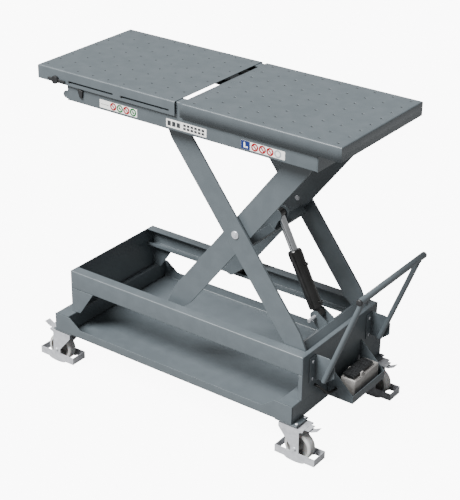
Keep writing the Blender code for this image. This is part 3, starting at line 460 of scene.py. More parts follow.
# %% [markdown]
# ## Folded sheet
# A press brake bends sheet over a punch, so an outside corner has a radius of about one and a
# half sheet thicknesses.  A Bevel modifier could round the corners, but not with a different radius
# inside and outside.  So each corner of the line becomes an arc: its centre lies inside the corner,
# and the arc turns by the corner's angle.  The inner face is the same line moved by the sheet's
# thickness.

# %% Folded sheet
BEND = 0.006
BEND_STEPS = 5


def across(v):
    """A 2D direction turned left by 90 degrees."""
    return np.stack([-v[..., 1], v[..., 0]], -1)


def folded(points, thickness, radius=BEND):
    """Closed outline of a folded sheet; the points are its outer face and the wall lies to the left."""
    p = np.asarray(points, float)
    step = np.diff(p, axis=0)
    d = step / np.linalg.norm(step, axis=1, keepdims=True)
    a, b = d[:-1], d[1:]
    turn = np.arctan2(a[:, 0] * b[:, 1] - a[:, 1] * b[:, 0], (a * b).sum(1))
    radii = np.where(turn > 0, radius, max(radius - thickness, 0.0005))
    back = radii * np.tan(abs(turn) / 2)
    centre = p[1:-1] - a * back[:, None] + across(a) * (np.sign(turn) * radii)[:, None]
    angle = turn[:, None] * np.linspace(0, 1, BEND_STEPS + 1)
    heading = (np.cos(angle)[..., None] * a[:, None] + np.sin(angle)[..., None] * across(a)[:, None])
    arcs = centre[:, None] - across(heading) * (np.sign(turn) * radii)[:, None, None]
    line = np.concatenate([p[:1], arcs.reshape(-1, 2), p[-1:]])
    left = np.concatenate([across(d[:1]), across(heading).reshape(-1, 2), across(d[-1:])])
    return np.concatenate([line, (line + thickness * left)[::-1]])


print("an angle section has", len(folded([(0, 0), (0.05, 0), (0.05, 0.05)], 0.004)), "points")


# %% [markdown]
# ## Base rails
# Each long side of the base is a C section, open to the middle, so that the lower rollers run
# inside it.  It is one folded outline carried along X.  The rear one is the front outline with its
# first coordinate's sign turned, so the two always match.

# %% Base rails
RAIL_T, RAIL_FLANGE, RAIL_LIP = 0.004, 0.056, 0.022
SIDES = (("front", -1), ("rear", 1))
for side_name, side in SIDES:
    low, high, _ = place_of("rail_" + side_name)
    web = max(abs(low[1]), abs(high[1]))
    inner = web - RAIL_FLANGE
    line = [(inner, low[2] + RAIL_LIP), (inner, low[2]), (web, low[2]), (web, high[2]),
            (inner, high[2])]
    outline = folded(line, RAIL_T) * (side, 1)
    piece("rail_section_" + side_name, [extrusion(outline, "X", low[0], high[0])], SLATE, "base",
          ["rail_" + side_name])
print("rails run from x", round(low[0], 3), "to", round(high[0], 3))

# %% [markdown]
# ## Load tray
# The pan is one sheet: floor, two bends and two sides.  Its sides are high at the ends and low in
# the middle, so the height is a function of x.  It could be cut from a deep pan with a Boolean, but
# a grid of x stations by profile points keeps the bends clean, and Solidify gives it thickness.

# %% Load tray
TRAY_T, LIP_H, LIP_FULL, LIP_SLANT = 0.004, 0.048, 0.105, 0.076


def tray_pan(low, high):
    """Profile across Y, bent up at each side by a quarter circle, then raised to the lip height at x."""
    x = np.array([low[0], low[0] + LIP_FULL, low[0] + LIP_FULL + LIP_SLANT,
                  high[0] - LIP_FULL - LIP_SLANT, high[0] - LIP_FULL, high[0]])
    full, lip = high[2], low[2] + LIP_H
    top = np.array([full, full, lip, lip, full, full])
    a = np.linspace(0, np.pi / 2, BEND_STEPS + 1)
    y = high[1] - BEND + BEND * np.sin(a)
    z = low[2] + BEND - BEND * np.cos(a)
    half_y = np.concatenate([[0.0], y, [high[1]]])
    half_z = np.concatenate([[low[2]], z, [0.0]])
    ys = np.concatenate([-half_y[::-1], half_y[1:]])
    zs = np.tile(np.concatenate([half_z[::-1], half_z[1:]]), (len(x), 1))
    zs[:, 0] = zs[:, -1] = top
    points = np.stack(np.broadcast_arrays(x[:, None], ys[None], zs), -1)
    return grid(points[:, ::-1])


low, high, _ = place_of("tray")
pan = piece("tray_pan", [tray_pan(low, high)], SLATE, "base", ["tray"],
            closed=False)
wall = pan.modifiers.new("sheet", "SOLIDIFY")
wall.thickness, wall.offset, wall.use_even_offset = TRAY_T, 1.0, True
soften(pan, 0.0008)
print("tray", (high - low).round(3))

# %% [markdown]
# ## Beams across the tray's ends
# A folded section at each end closes the pan and takes the load down to the casters.  It stays half
# a millimetre inside the pan's height, so that the two sheets never share a face and flicker.

# %% End beams
TRAY_BEAM, SHY = 0.088, 0.0005
beams = []
for x_out, end in ((low[0], -1), (high[0], 1)):
    x_in = x_out - end * TRAY_BEAM
    line = [(x_out, low[2] + SHY), (x_out, high[2] - SHY), (x_in, high[2] - SHY),
            (x_in, low[2] + TRAY_T)]
    outline = folded(line if end > 0 else line[::-1], TRAY_T)
    beams.append(extrusion(outline, "Y", low[1] + TRAY_T, high[1] - TRAY_T))
piece("tray_end_beams", beams, SLATE, "base")
print("two end beams", TRAY_BEAM, "m deep")

# %% [markdown]
# ## Decks
# Each deck is a sheet with a grid of round holes.  Seventy-two Boolean cuts would leave long thin
# faces that shade badly.  So round every hole the sheet is a patch between a circle and a rectangle:
# a point is (1 - t) circle + t border, and neighbouring patches share their border points.

# %% One hole and its patch
HOLE_R, HOLES_X, HOLES_Y = 0.005, 9, 8
PITCH_X, PITCH_Y = 0.1005, 0.0943
SIDE_POINTS = 6


def border(low, high):
    """Points round a rectangle, evenly spaced on each side, starting at the low corner."""
    t = np.arange(SIDE_POINTS) / SIDE_POINTS
    (x0, y0), (x1, y1) = low, high
    one = np.ones(SIDE_POINTS)
    x = np.concatenate([x0 + (x1 - x0) * t, x1 * one, x1 + (x0 - x1) * t, x0 * one])
    y = np.concatenate([y0 * one, y0 + (y1 - y0) * t, y1 * one, y1 + (y0 - y1) * t])
    return np.stack([x, y], -1)


def patch(hole, low, high, z):
    """Sheet between a round hole and a rectangle, blended by t from 0 at the hole to 1."""
    a = -3 * np.pi / 4 + np.linspace(0, 2 * np.pi, 4 * SIDE_POINTS, endpoint=False)
    circle = np.asarray(hole) + HOLE_R * np.stack([np.cos(a), np.sin(a)], -1)
    t = np.array([0.0, 0.12, 1.0])[:, None, None]
    flat = (1 - t) * circle + t * border(low, high)
    return grid(np.concatenate([flat, np.full(flat.shape[:2] + (1,), z)], -1), wrap_columns=True)


def edges(first, pitch, count, low, high):
    """Lines between the patches: half way between the holes, and the sheet's own edges."""
    middle = first + pitch * (np.arange(count - 1) + 0.5)
    return np.concatenate([[low], middle, [high]])


print("each deck has", HOLES_X * HOLES_Y, "holes")

# %% [markdown]
# ## The skirt round a deck
# The sheet is folded down on three sides, which makes it stiff.  The skirt is a quarter bend and a
# drop, carried round the border and moved outwards along (x, y) by the bend's radius.  It starts on
# the patches' own border points, so that sheet and skirt merge into one smooth surface.

# %% Skirt
DECK_BEND, SKIRT = 0.008, 0.073


def skirt(xs, ys, z, open_side):
    """Rows of the border: outwards by r sin a, down by r - r cos a, then straight down."""
    t = np.arange(SIDE_POINTS)[None] / SIDE_POINTS
    fine_x = np.append((xs[:-1, None] + np.diff(xs)[:, None] * t).ravel(), xs[-1])
    fine_y = np.append((ys[:-1, None] + np.diff(ys)[:, None] * t).ravel(), ys[-1])
    if open_side > 0:
        fine_x = fine_x[::-1]
    x_shut, out = fine_x[-1], -open_side
    run = np.concatenate([np.stack([fine_x, 0 * fine_x + ys[0]], -1),
                          np.stack([0 * fine_y[1:-1] + x_shut, fine_y[1:-1]], -1),
                          np.stack([fine_x[::-1], 0 * fine_x + ys[-1]], -1)])
    move = np.zeros_like(run)
    move[:len(fine_x), 1], move[-len(fine_x):, 1] = -1, 1
    move[len(fine_x) - 1:-len(fine_x) + 1, 0] = out
    a = np.linspace(0, np.pi / 2, BEND_STEPS + 2)
    reach = np.append(DECK_BEND * np.sin(a), DECK_BEND)[:, None, None]
    drop = np.append(DECK_BEND - DECK_BEND * np.cos(a), SKIRT)[:, None]
    heights = np.broadcast_to(z - drop, (len(reach), len(run)))[..., None]
    return grid(np.concatenate([run + reach * move, heights], -1))


print("the skirts are", SKIRT, "m deep")

# %% [markdown]
# ## Fixed and sliding deck
# Both decks come from one function, because they differ only in length and in which end is open.
# The patches and the skirt are merged, and Solidify gives the sheet its thickness downwards, so the
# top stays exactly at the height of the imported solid.

# %% Fixed and sliding deck
DECK_T, FIXED_INSET, SLIDE_INSET = 0.003, 0.061, 0.038


def deck(name, node, first_hole, open_side):
    """The perforated sheet with its skirts; open_side is the end that has no skirt."""
    low, high, _ = place_of(node)
    r = DECK_BEND
    x0 = low[0] if open_side < 0 else low[0] + r
    x1 = high[0] if open_side > 0 else high[0] - r
    xs = edges(first_hole, PITCH_X, HOLES_X, x0, x1)
    ys = edges(-PITCH_Y * (HOLES_Y - 1) / 2, PITCH_Y, HOLES_Y, low[1] + r, high[1] - r)
    shapes = [patch((first_hole + i * PITCH_X, (j - (HOLES_Y - 1) / 2) * PITCH_Y),
                    (xs[i], ys[j]), (xs[i + 1], ys[j + 1]), high[2])
              for i in range(HOLES_X) for j in range(HOLES_Y)]
    shapes.append(skirt(xs, ys, high[2], open_side))
    obj = piece(name, shapes, SLATE, body_of(node), [node], angle=40)
    if obj.data.polygons[0].normal.z < 0:
        obj.data.flip_normals()
    sheet = obj.modifiers.new("sheet", "SOLIDIFY")
    sheet.thickness, sheet.offset, sheet.use_even_offset = DECK_T, -1.0, True
    return obj


fixed_low = place_of("fixed_deck")[0]
slide_low, slide_high, _ = place_of("sliding_deck")
fixed = deck("fixed_deck_sheet", "fixed_deck", fixed_low[0] + FIXED_INSET, -1)
sliding = deck("sliding_deck_sheet", "sliding_deck", slide_low[0] + SLIDE_INSET, 1)
print("deck faces", len(fixed.data.polygons), len(sliding.data.polygons))

# %% [markdown]
# ## Slots in the sliding deck
# The sliding deck is guided by shouldered pins in long slots in its skirts.  A slot is punched:
# a straight stretch with half circles at its ends.  Here a Boolean is the right tool, since there
# are only four cuts and each is flat: the punch is a solid of that outline, and it is thrown away
# once the sheet has been cut.

# %% Punch the slots
SLOT_H, SLOT_DROP, PUNCH_PAST = 0.010, 0.052, 0.01
SLOTS = ((0.203, 0.499), (0.544, 0.851))


def stadium(x0, x1, z, half):
    """Outline with half circles of the given half height at both ends."""
    a = np.linspace(-np.pi / 2, np.pi / 2, 9)
    right_end = np.stack([x1 - half + half * np.cos(a), z + half * np.sin(a)], -1)
    left_end = np.stack([x0 + half - half * np.cos(a), z - half * np.sin(a)], -1)
    return np.concatenate([right_end, left_end])


def punch(obj, shapes):
    """Take closed shapes out of an object, and keep the result as its own mesh."""
    points, faces = together(shapes)
    tool_mesh = bpy.data.meshes.new("punch")
    tool_mesh.from_pydata(points, [], faces)
    bm = bmesh.new()
    bm.from_mesh(tool_mesh)
    bmesh.ops.recalc_face_normals(bm, faces=bm.faces)
    bm.to_mesh(tool_mesh)
    bm.free()
    tool = bpy.data.objects.new("punch", tool_mesh)
    bpy.context.scene.collection.objects.link(tool)
    cut = obj.modifiers.new("punch", "BOOLEAN")
    cut.operation, cut.solver, cut.object = "DIFFERENCE", "EXACT", tool
    ready = obj.evaluated_get(bpy.context.evaluated_depsgraph_get())
    mesh = bpy.data.meshes.new_from_object(ready)
    obj.modifiers.clear()
    obj.data = mesh
    bpy.data.objects.remove(tool)
    mesh.shade_smooth()
    mesh.set_sharp_from_angle(angle=np.radians(40))


slot_z = slide_high[2] - SLOT_DROP
punch(sliding, [extrusion(stadium(slide_low[0] + a, slide_low[0] + b, slot_z, SLOT_H / 2), "Y",
                          y - PUNCH_PAST, y + PUNCH_PAST)
                for a, b in SLOTS for y in (slide_low[1], slide_high[1])])
print("sliding deck now has", len(sliding.data.polygons), "faces")

# %% [markdown]
# ## Painted shade in the deck holes
# A thin black disc sits a little below the surface in each hole.  It is painted shade, which stands
# in for the dark space seen through a hole, so the holes read as dark dots from above.  One turned
# profile is added to every hole's centre in a single array sum, so the discs of a deck are one object
# instead of seventy-two.

# %% Painted shade discs in the holes
# Profile of a black disc that paints the shade seen through a deck hole
HOLE_SHADE_PROFILE = [(0, -0.0028), (0.0049, -0.0028), (0.0049, -0.0006), (0.0045, -0.0004), (0.0038, -0.0010),
        (0, -0.0010)]


def painted_hole_shade(name, node, first_hole):
    """Lathe points plus hole centres: an array of shape (holes, steps, profile, 3)."""
    points, faces = lathe(HOLE_SHADE_PROFILE, (0, 0, place_of(node)[1][2]), (0, 0, 1), 16)
    x = first_hole + PITCH_X * np.arange(HOLES_X)
    y = PITCH_Y * (np.arange(HOLES_Y) - (HOLES_Y - 1) / 2)
    spots = np.stack([*np.broadcast_arrays(x[:, None], y[None], 0.0)], -1).reshape(-1, 1, 3)
    all_points = (points[None] + spots).reshape(-1, 3)
    shift = len(points) * np.arange(len(spots))[:, None, None]
    all_faces = (np.array(faces)[None] + shift).reshape(-1, 4).tolist()
    # Black discs drawn as painted shade in the holes
    piece(name, [(all_points, all_faces)], BLACK, body_of(node))


painted_hole_shade("fixed_deck_painted_hole_shade", "fixed_deck", fixed_low[0] + FIXED_INSET)
painted_hole_shade("sliding_deck_painted_hole_shade", "sliding_deck", slide_low[0] + SLIDE_INSET)
print("plugs in", 2 * HOLES_X * HOLES_Y, "holes")

# %% [markdown]
# ## Top frame
# Two tall C sections carry the decks.  A strip welded just above the upper rollers is the track that
# they bear on.  Its height is read from the roller, so the two always meet with the same clearance.

# %% Top frame
TRACK_T, FRAME_FLANGE, ROLLER_CLEAR, WELD_IN = 0.004, 0.056, 0.002, 0.001
roller_top = place_of("upper_roller_front")[1][2]
for side_name, side in SIDES:
    low, high, _ = place_of("top_rail_" + side_name)
    web = max(abs(low[1]), abs(high[1]))
    inner = web - FRAME_FLANGE
    track = roller_top + ROLLER_CLEAR
    line = [(inner, low[2]), (web, low[2]), (web, high[2]), (inner, high[2])]
    strip = np.array([(inner, track), (web - WELD_IN, track), (web - WELD_IN, track + TRACK_T),
                      (inner, track + TRACK_T)])
    piece("top_frame_" + side_name,
          [extrusion(folded(line, TRACK_T) * (side, 1), "X", low[0], high[0]),
           extrusion(strip * (side, 1), "X", low[0] + WELD_IN, high[0] - WELD_IN)],
          SLATE, "platform", ["top_rail_" + side_name])
for node in ("top_end_left", "top_end_right"):
    eased(node, SLATE, 0.0015)
print("top frame", round(high[0] - low[0], 3), "m long")

# %% [markdown]
# ## Scissor arms
# Each arm is a 12 mm bar cut by laser, with its edges just broken.  It is widest in the middle,
# where it bends most, and tapers to a round end about each pivot.  The outline is two arcs and the
# four corners where the tapers meet the full width.  Its ends are the frame's own joint places, so
# an arm always turns about the middle of its pin.

# %% Scissor arms
ARM_T, ARM_END_R, ARM_TAPER, ARM_HALF, STUB_R = 0.012, 0.031, 0.130, 0.061, 0.012
joints = {joint["name"]: joint for joint in frame["joints"]}
low_pivot = np.array(joints["lift"]["pos_m"])
high_pivot = np.array(joints["platform_level"]["pos_m"])
low_roller = np.array(joints["lower_roller_front_spin"]["pos_m"])
high_roller = np.array(joints["upper_roller_front_spin"]["pos_m"])
centre = np.array(joints["scissor_centre"]["pos_m"])


def arm_outline(start, end):
    """Arc about the end, two shoulders, arc about the start, two shoulders; all turned to the arm."""
    start, end = np.asarray(start), np.asarray(end)
    along = (end - start) / np.linalg.norm(end - start)
    turn = np.stack([along, across(along)])
    slant = np.arctan2(ARM_HALF - ARM_END_R, ARM_TAPER)
    a = np.linspace(slant - np.pi / 2, np.pi / 2 - slant, 17)
    far = ARM_END_R * np.stack([np.cos(a), np.sin(a)], -1)
    at_end = np.concatenate([far, [[-ARM_TAPER, ARM_HALF]]])
    at_start = np.concatenate([[[ARM_TAPER, ARM_HALF]], -far, [[ARM_TAPER, -ARM_HALF]]])
    last = np.array([[-ARM_TAPER, -ARM_HALF]])
    return np.concatenate([end + at_end @ turn, start + at_start @ turn, end + last @ turn])


def arm(name, node, start, end, stub_at, side):
    """Bar between two XZ points, with the stub that carries its roller."""
    low, high, _ = place_of(node)
    inside = high[1] if side < 0 else low[1]
    outside = low[1] if side < 0 else high[1]
    faces = (inside, inside + side * ARM_T)
    bar = extrusion(arm_outline(start, end), "Y", min(faces), max(faces))
    piece(name, [bar], SLATE, body_of(node), [node], ease=0.0012)
    stub = turned_bar((stub_at[0], faces[1] - side * 0.001, stub_at[1]),
                      (stub_at[0], outside, stub_at[1]), STUB_R)
    piece(name + "_stub", [stub], ZINC, body_of(node))


for side_name, side in SIDES:
    arm("outer_arm_bar_" + side_name, "outer_arm_" + side_name, low_pivot[[0, 2]],
        high_roller[[0, 2]], high_roller[[0, 2]], side)
    arm("inner_arm_bar_" + side_name, "inner_arm_" + side_name, low_roller[[0, 2]],
        high_pivot[[0, 2]], low_roller[[0, 2]], side)
for node in ("outer_cross_beam", "inner_cross_beam"):
    eased(node, SLATE, 0.003)
print("arms cross at", centre.round(3))

# %% [markdown]
# ## Rollers
# The rollers are turned nylon discs with a recessed face, which saves material and keeps the rim
# from rubbing.  The profile goes once round the section and closes on its first point, so the bore
# is a real hole.

# %% Rollers
ROLLER_BORE, HUB_R = 0.0127, 0.020
for node in ("lower_roller_front", "lower_roller_rear", "upper_roller_front",
             "upper_roller_rear"):
    low, high, mid = place_of(node)
    r, half = (high[2] - low[2]) / 2, (high[1] - low[1]) / 2
    one_side = [(ROLLER_BORE, half), (HUB_R, half), (HUB_R + 0.002, half - 0.002),
                (r - 0.008, half - 0.002), (r - 0.006, half), (r - 0.002, half), (r, half - 0.002)]
    profile = one_side + [(a, -b) for a, b in one_side[::-1]] + one_side[:1]
    piece(node + "_disc", [lathe(profile, mid, (0, 1, 0))], NYLON, body_of(node),
          [node])
print("four rollers of radius", round(r, 3))

# %% [markdown]
# ## Pivot pins
# The pins are turned steel, zinc plated, with chamfered heads.  A centre pin has its head outside,
# where it shows; the others have it inside.  One profile serves all six: only the end that carries
# the head and the direction of turning change.

# %% Pins
PIN_R, HEAD_R = 0.014, 0.021
for side_name, side in SIDES:
    for node, head_outside in (("centre_pin_", True), ("lower_pivot_", False),
                               ("upper_pivot_", False)):
        node += side_name
        low, high, mid = place_of(node)
        inside = high[1] if side < 0 else low[1]
        outside = low[1] if side < 0 else high[1]
        head, tail = (outside, inside) if head_outside else (inside, outside)
        into = np.sign(tail - head)
        length = abs(tail - head)
        profile = [(0, 0), (0.009, 0), (0.010, 0.0012), (HEAD_R - 0.002, 0.0012), (HEAD_R, 0.003),
                   (HEAD_R, 0.006), (PIN_R, 0.006), (PIN_R, length - 0.002),
                   (PIN_R - 0.002, length), (0, length)]
        piece(node + "_turned", [lathe(profile, (mid[0], head, mid[2]), (0, into, 0))], ZINC,
              body_of(node), [node])
print("six pins of radius", PIN_R)

# %% [markdown]
# ## Lift cylinder
# The barrel is a honed tube with a welded base, a neck and eye, a screwed gland at the top and
# two port blocks.  Its profile is turned about the cylinder's axis.  That axis is read from the
# rod's slide joint, so barrel and rod stay in line at every pose.

# %% Barrel
BARREL_R, BARREL_L, ROD_R, EYE_R, EYE_BORE = 0.036, 0.345, 0.021, 0.026, 0.0107
low_eye = np.array(joints["cylinder_tilt"]["pos_m"])
cyl_axis = np.array(joints["rod_stroke"]["axis"])
upward = np.array([-cyl_axis[2], 0.0, cyl_axis[0]])


def on_cylinder(distance, out=0.0):
    """Point at a distance along the cylinder from its lower eye, and out on its upper side."""
    return low_eye + cyl_axis * distance - upward * out


def eye(centre, radius, half):
    """A short thick ring about Y with chamfered faces."""
    profile = [(EYE_BORE, -half), (radius - 0.002, -half), (radius, 0.002 - half),
               (radius, half - 0.002), (radius - 0.002, half), (EYE_BORE, half), (EYE_BORE, -half)]
    return lathe(profile, centre, (0, 1, 0), 32)


barrel = [(0, 0.014), (0.021, 0.014), (0.021, 0.034), (BARREL_R - 0.003, 0.036), (BARREL_R, 0.039),
          (BARREL_R, BARREL_L - 0.045), (BARREL_R + 0.0015, BARREL_L - 0.043),
          (BARREL_R + 0.0015, BARREL_L - 0.003), (BARREL_R, BARREL_L), (BARREL_R, BARREL_L + 0.004),
          (BARREL_R - 0.003, BARREL_L + 0.008), (ROD_R + 0.004, BARREL_L + 0.008),
          (ROD_R + 0.003, BARREL_L + 0.005), (ROD_R + 0.0008, BARREL_L + 0.005),
          (ROD_R + 0.0008, 0.06), (0, 0.06)]
ports = [turned_bar(on_cylinder(d, BARREL_R - 0.004), on_cylinder(d, BARREL_R + 0.014), 0.009, 16)
         for d in (0.060, BARREL_L - 0.075)]
piece("barrel_tube", [lathe(barrel, low_eye, cyl_axis, 48), eye(low_eye, EYE_R, 0.026)]
      + ports, ENAMEL, "barrel", ["cylinder_barrel"])
print("barrel", BARREL_L, "m long with", len(ports), "ports")

# %% [markdown]
# ## Piston rod and its eye
# The rod is a plain ground bar.  Most of it is hidden in the barrel when the table is down, so it is
# made in its full length and slides with its own body.  The eye at its top takes the pin's load.

# %% Rod and pin
ROD_EYE_R, ROD_START, CYLINDER_PIN_R = 0.024, 0.185, 0.010
rod_top = place_of("cylinder_rod")[1][2] - ROD_EYE_R
reach = (rod_top - low_eye[2]) / cyl_axis[2]
shaft = turned_bar(on_cylinder(ROD_START), on_cylinder(reach - 0.014), ROD_R, 40)
piece("piston_rod_shaft", [shaft], CHROME, "piston_rod", ["cylinder_rod"])
piece("piston_rod_eye", [eye(on_cylinder(reach), ROD_EYE_R, 0.024)], ENAMEL, "piston_rod")
low, high, mid = place_of("cylinder_pin")
pin = turned_bar((mid[0], low[1], mid[2]), (mid[0], high[1], mid[2]), CYLINDER_PIN_R)
piece("cylinder_pin_turned", [pin], ZINC, "outer_arms", ["cylinder_pin"])
print("cylinder reaches", round(float(np.linalg.norm(cyl_axis * reach)), 3), "m")

# %% [markdown]
# ## Base end plates and brackets
# The end plates and the handle's brackets are flat sheet with their edges broken.  Their packed
# solids already have the right outline, so only the edges need work.  A small folded strip stiffens
# the top of the right end plate.

# %% End plates and brackets
for node in ("end_plate_left", "end_plate_right", "handle_bracket_front",
             "handle_bracket_rear"):
    eased(node, SLATE, 0.0012)

rail_low, rail_high, _ = place_of("rail_front")
STIFFENER_IN, STIFFENER_DROP, STIFFENER_GAP = 0.022, 0.024, 0.0015
STIFFENER_T, STIFFENER_BEND = 0.003, 0.004
half_y = abs(rail_low[1]) - RAIL_FLANGE - STIFFENER_GAP
x_in = rail_high[0] - STIFFENER_IN
line = [(rail_high[0], rail_high[2] - SHY), (x_in, rail_high[2] - SHY),
        (x_in, rail_high[2] - STIFFENER_DROP)]
strip = extrusion(folded(line, STIFFENER_T, STIFFENER_BEND), "Y", -half_y, half_y)
piece("end_stiffener", [strip], SLATE, "base")
print("stiffener", round(2 * half_y, 3), "m wide")

# %% [markdown]
# ## Push handle
# Two slanted legs of round tube are welded to a cross bar.  The tubes could simply run into each
# other, but the real joint has a small bead of weld all round it, and that bead is what makes it look
# welded.  It is a torus whose thickness ripples with the steps of the torch.

# %% Handle and its welds
BAR_R, LEG_R, LEG_HALF_SPREAD, WELD_BEAD = 0.017, 0.014, 0.270, 0.0022
FOOT = np.array([0.772, 0.405])
cap_front, cap_rear = place_of("handle_cap_front"), place_of("handle_cap_rear")
bar_x, bar_z = cap_front[2][0], cap_front[2][2]
bar_ends = (cap_front[1][1] + 0.0002, cap_rear[0][1] - 0.0002)
leg_ys = [(bar_ends[0] + bar_ends[1]) / 2 + s * LEG_HALF_SPREAD for s in (-1, 1)]
shapes = [turned_bar((bar_x, bar_ends[0], bar_z), (bar_x, bar_ends[1], bar_z), BAR_R, 40, 0.0005)]
for y in leg_ys:
    shapes.append(turned_bar((FOOT[0], y, FOOT[1]), (bar_x, y, bar_z), LEG_R, 32))
piece("push_handle", shapes, SLATE, "base", ["handle"])


def weld_ring(centre, direction, radius, bead, seed):
    """Torus of radius + wide cos b, whose thickness is bead (1 + 0.15 sin 14 a)."""
    a = np.linspace(0, 2 * np.pi, 48, endpoint=False)[:, None]
    b = np.linspace(0, 2 * np.pi, 8, endpoint=False)[None]
    wide = bead * (1 + 0.15 * np.sin(14 * a + seed))
    r = radius + wide * np.cos(b)
    local = np.stack([r * np.cos(a), r * np.sin(a), wide * np.sin(b)], -1)
    return grid(local @ turn_to(direction).T + centre, wrap_rows=True, wrap_columns=True)


leg_dir = np.array([bar_x - FOOT[0], 0, bar_z - FOOT[1]])
leg_dir /= np.linalg.norm(leg_dir)
piece("handle_welds", [weld_ring(np.array([bar_x, y, bar_z]) - leg_dir * (BAR_R - 0.001), leg_dir,
                                 LEG_R, WELD_BEAD, y) for y in leg_ys],
      SLATE, "base")
print("push bar at z", round(float(bar_z), 3))

# %% [markdown]
# ## Handle caps
# A moulded plastic cap shuts each end of the push bar.  It is turned from a profile with a small
# dome, which is closer to a moulding than a flat disc with a bevel.

# %% Handle caps
CAP_L = 0.012
for side_name, side in SIDES:
    low, high, mid = place_of("handle_cap_" + side_name)
    inside, outside = (high[1], low[1]) if side < 0 else (low[1], high[1])
    dome = [(0, 0), (BAR_R, 0), (BAR_R, 0.007), (BAR_R - 0.001, 0.0095), (BAR_R - 0.004, 0.0115),
            (0, CAP_L)]
    piece("cap_" + side_name, [lathe(dome, (mid[0], inside, mid[2]), (0, side, 0))], BLACK, "base",
          ["handle_cap_" + side_name])
print("two caps", CAP_L, "m long")

# %% [markdown]
# ## Foot pump
# The pump is a casting in a folded cage.  The pedal is a black plastic pad with ribs for grip.  The
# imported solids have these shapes, so each keeps its form and gets edges as round as its process
# leaves them: 2 mm on a casting, less on sheet and mouldings.  The hose is smooth already and only
# gets its material.

# %% Foot pump
eased("pump_cage", SLATE, 0.0015)
eased("foot_pump", CAST, 0.002)
eased("foot_pedal", BLACK, 0.0012)
frame["nodes"]["pump_hose"].data.materials.clear()
frame["nodes"]["pump_hose"].data.materials.append(RUBBER)
print("pump, pedal and hose done")

# %% [markdown]
# ## Lever, knob and guide pins
# A lever clamps the sliding deck and a knob locks it.  Both are black mouldings.  The two guide pins
# are turned, so that their ends are round in the slots.

# %% Lever, knob and guide pins
GUIDE_PIN_R = 0.0042
eased("clamp_lever", BLACK, 0.002)
eased("lock_knob", BLACK, 0.002)
for node in ("guide_pin_a", "guide_pin_b"):
    low, high, mid = place_of(node)
    pin = turned_bar((mid[0], high[1], mid[2]), (mid[0], low[1], mid[2]), GUIDE_PIN_R, 24, 0.0008)
    piece(node + "_turned", [pin], BLACK, "platform", [node])
print("guide pins of radius", GUIDE_PIN_R)

# %% [markdown]
# ## Caster forks, plates and brakes
# Forks, guards and brakes are pressed steel, zinc plated, and the plates are coated with the base.
# A press leaves a small radius on every edge, so a rounded copy of each solid is enough.

# %% Forks, plates and brakes
TAGS = [end + "_" + side for end in ("left", "right") for side in ("front", "rear")]
for tag in TAGS:
    eased("caster_plate_" + tag, SLATE, 0.0012)
    eased("caster_fork_" + tag, ZINC, 0.0012)
    eased("caster_brake_" + tag, ZINC, 0.0009)
print("fittings for", len(TAGS), "casters")

# %% [markdown]
# ## Caster wheels
# Each wheel has a grey nylon core, with a hub and a thin web, and a paler crowned tyre.  The two tones
# are painted light and shade: the tyre is paler for the light on the tread, the core darker for the
# shaded sides.  Core and tyre are two closed profiles here, with a fine line between them.

# %% Wheels
WHEEL_HALF, WHEEL_BORE, CORE_IN = 0.025, 0.0067, 0.0178
for tag in TAGS:
    node = "caster_wheel_" + tag
    low, high, mid = place_of(node)
    r, half, hub = (high[0] - low[0]) / 2, WHEEL_HALF, (high[1] - low[1]) / 2
    side_face = [(WHEEL_BORE, hub), (0.014, hub), (0.016, hub - 0.002), (0.019, half - 0.006),
                 (0.024, half - 0.012), (r - 0.026, half - 0.012), (r - 0.021, half - 0.009),
                 (r - 0.019, half - 0.001), (r - 0.018, half)]
    tread = [(r - 0.008, half), (r - 0.0035, half - 0.002), (r - 0.001, half - 0.006),
             (r, half - 0.012), (r, 0.012 - half), (r - 0.001, 0.006 - half),
             (r - 0.0035, 0.002 - half), (r - 0.008, -half)]
    profile = side_face + [(a, -b) for a, b in side_face[::-1]] + side_face[:1]
    piece(node + "_core", [lathe(profile, mid, (0, 1, 0), 64)], NYLON, "wheel_" + tag,
          [node])
    ring_in = r - CORE_IN
    tyre = [(ring_in, half)] + tread + [(ring_in, -half), (ring_in, half)]
    # The tyre's paler nylon is a painted highlight for the light on the tread
    piece(node + "_tyre", [lathe(tyre, mid, (0, 1, 0), 64)], LIT_TREAD_NYLON, "wheel_" + tag)
print("wheels of radius", round(r, 3))

# %% [markdown]
# ## Screws
# The heads are zinc plated button heads: a dome, r = R cos t and h = H sin t, and a shallow recess
# in its middle.  A screw this small shows as a spark of light with a dark dot, and a dome with a
# recess gives just that.  There are three places for them: the caster plates, the axles, and the
# handle's brackets.

# %% Screws
SCREW_IN, SCREW_HALF, AXLE_HALF = 0.009, 0.039, 0.050


def button_head(centre, direction, radius, height):
    """Dome with a recess; the profile goes from the rim over the dome and down into the socket."""
    t = np.linspace(0, np.radians(62), 7)
    dome = np.stack([radius * np.cos(t), height * np.sin(t) / np.sin(t[-1])], -1)
    flat_r = dome[-1, 0]
    socket = [(flat_r * 0.8, height), (flat_r * 0.7, height * 0.45), (0, height * 0.4)]
    profile = np.concatenate([[(0, -0.0005), (radius, -0.0005)], dome, socket])
    return lathe(profile, centre, direction, 24)


for tag in TAGS:
    low, high, mid = place_of("caster_plate_" + tag)
    end = -1 if "left" in tag else 1
    x = (high[0] if end > 0 else low[0]) - end * SCREW_IN
    heads = [button_head((x, mid[1] + dy, high[2] - 0.0005), (0, 0, 1), 0.0085, 0.005)
             for dy in (-SCREW_HALF, SCREW_HALF)]
    piece("plate_screws_" + tag, heads, ZINC, "base")
    low, high, mid = place_of("caster_wheel_" + tag)
    ends = [button_head((mid[0], mid[1] + s * AXLE_HALF, mid[2]), (0, s, 0), 0.0105, 0.005)
            for s in (-1, 1)]
    piece("axle_nuts_" + tag, ends, ZINC, "fork_" + tag)

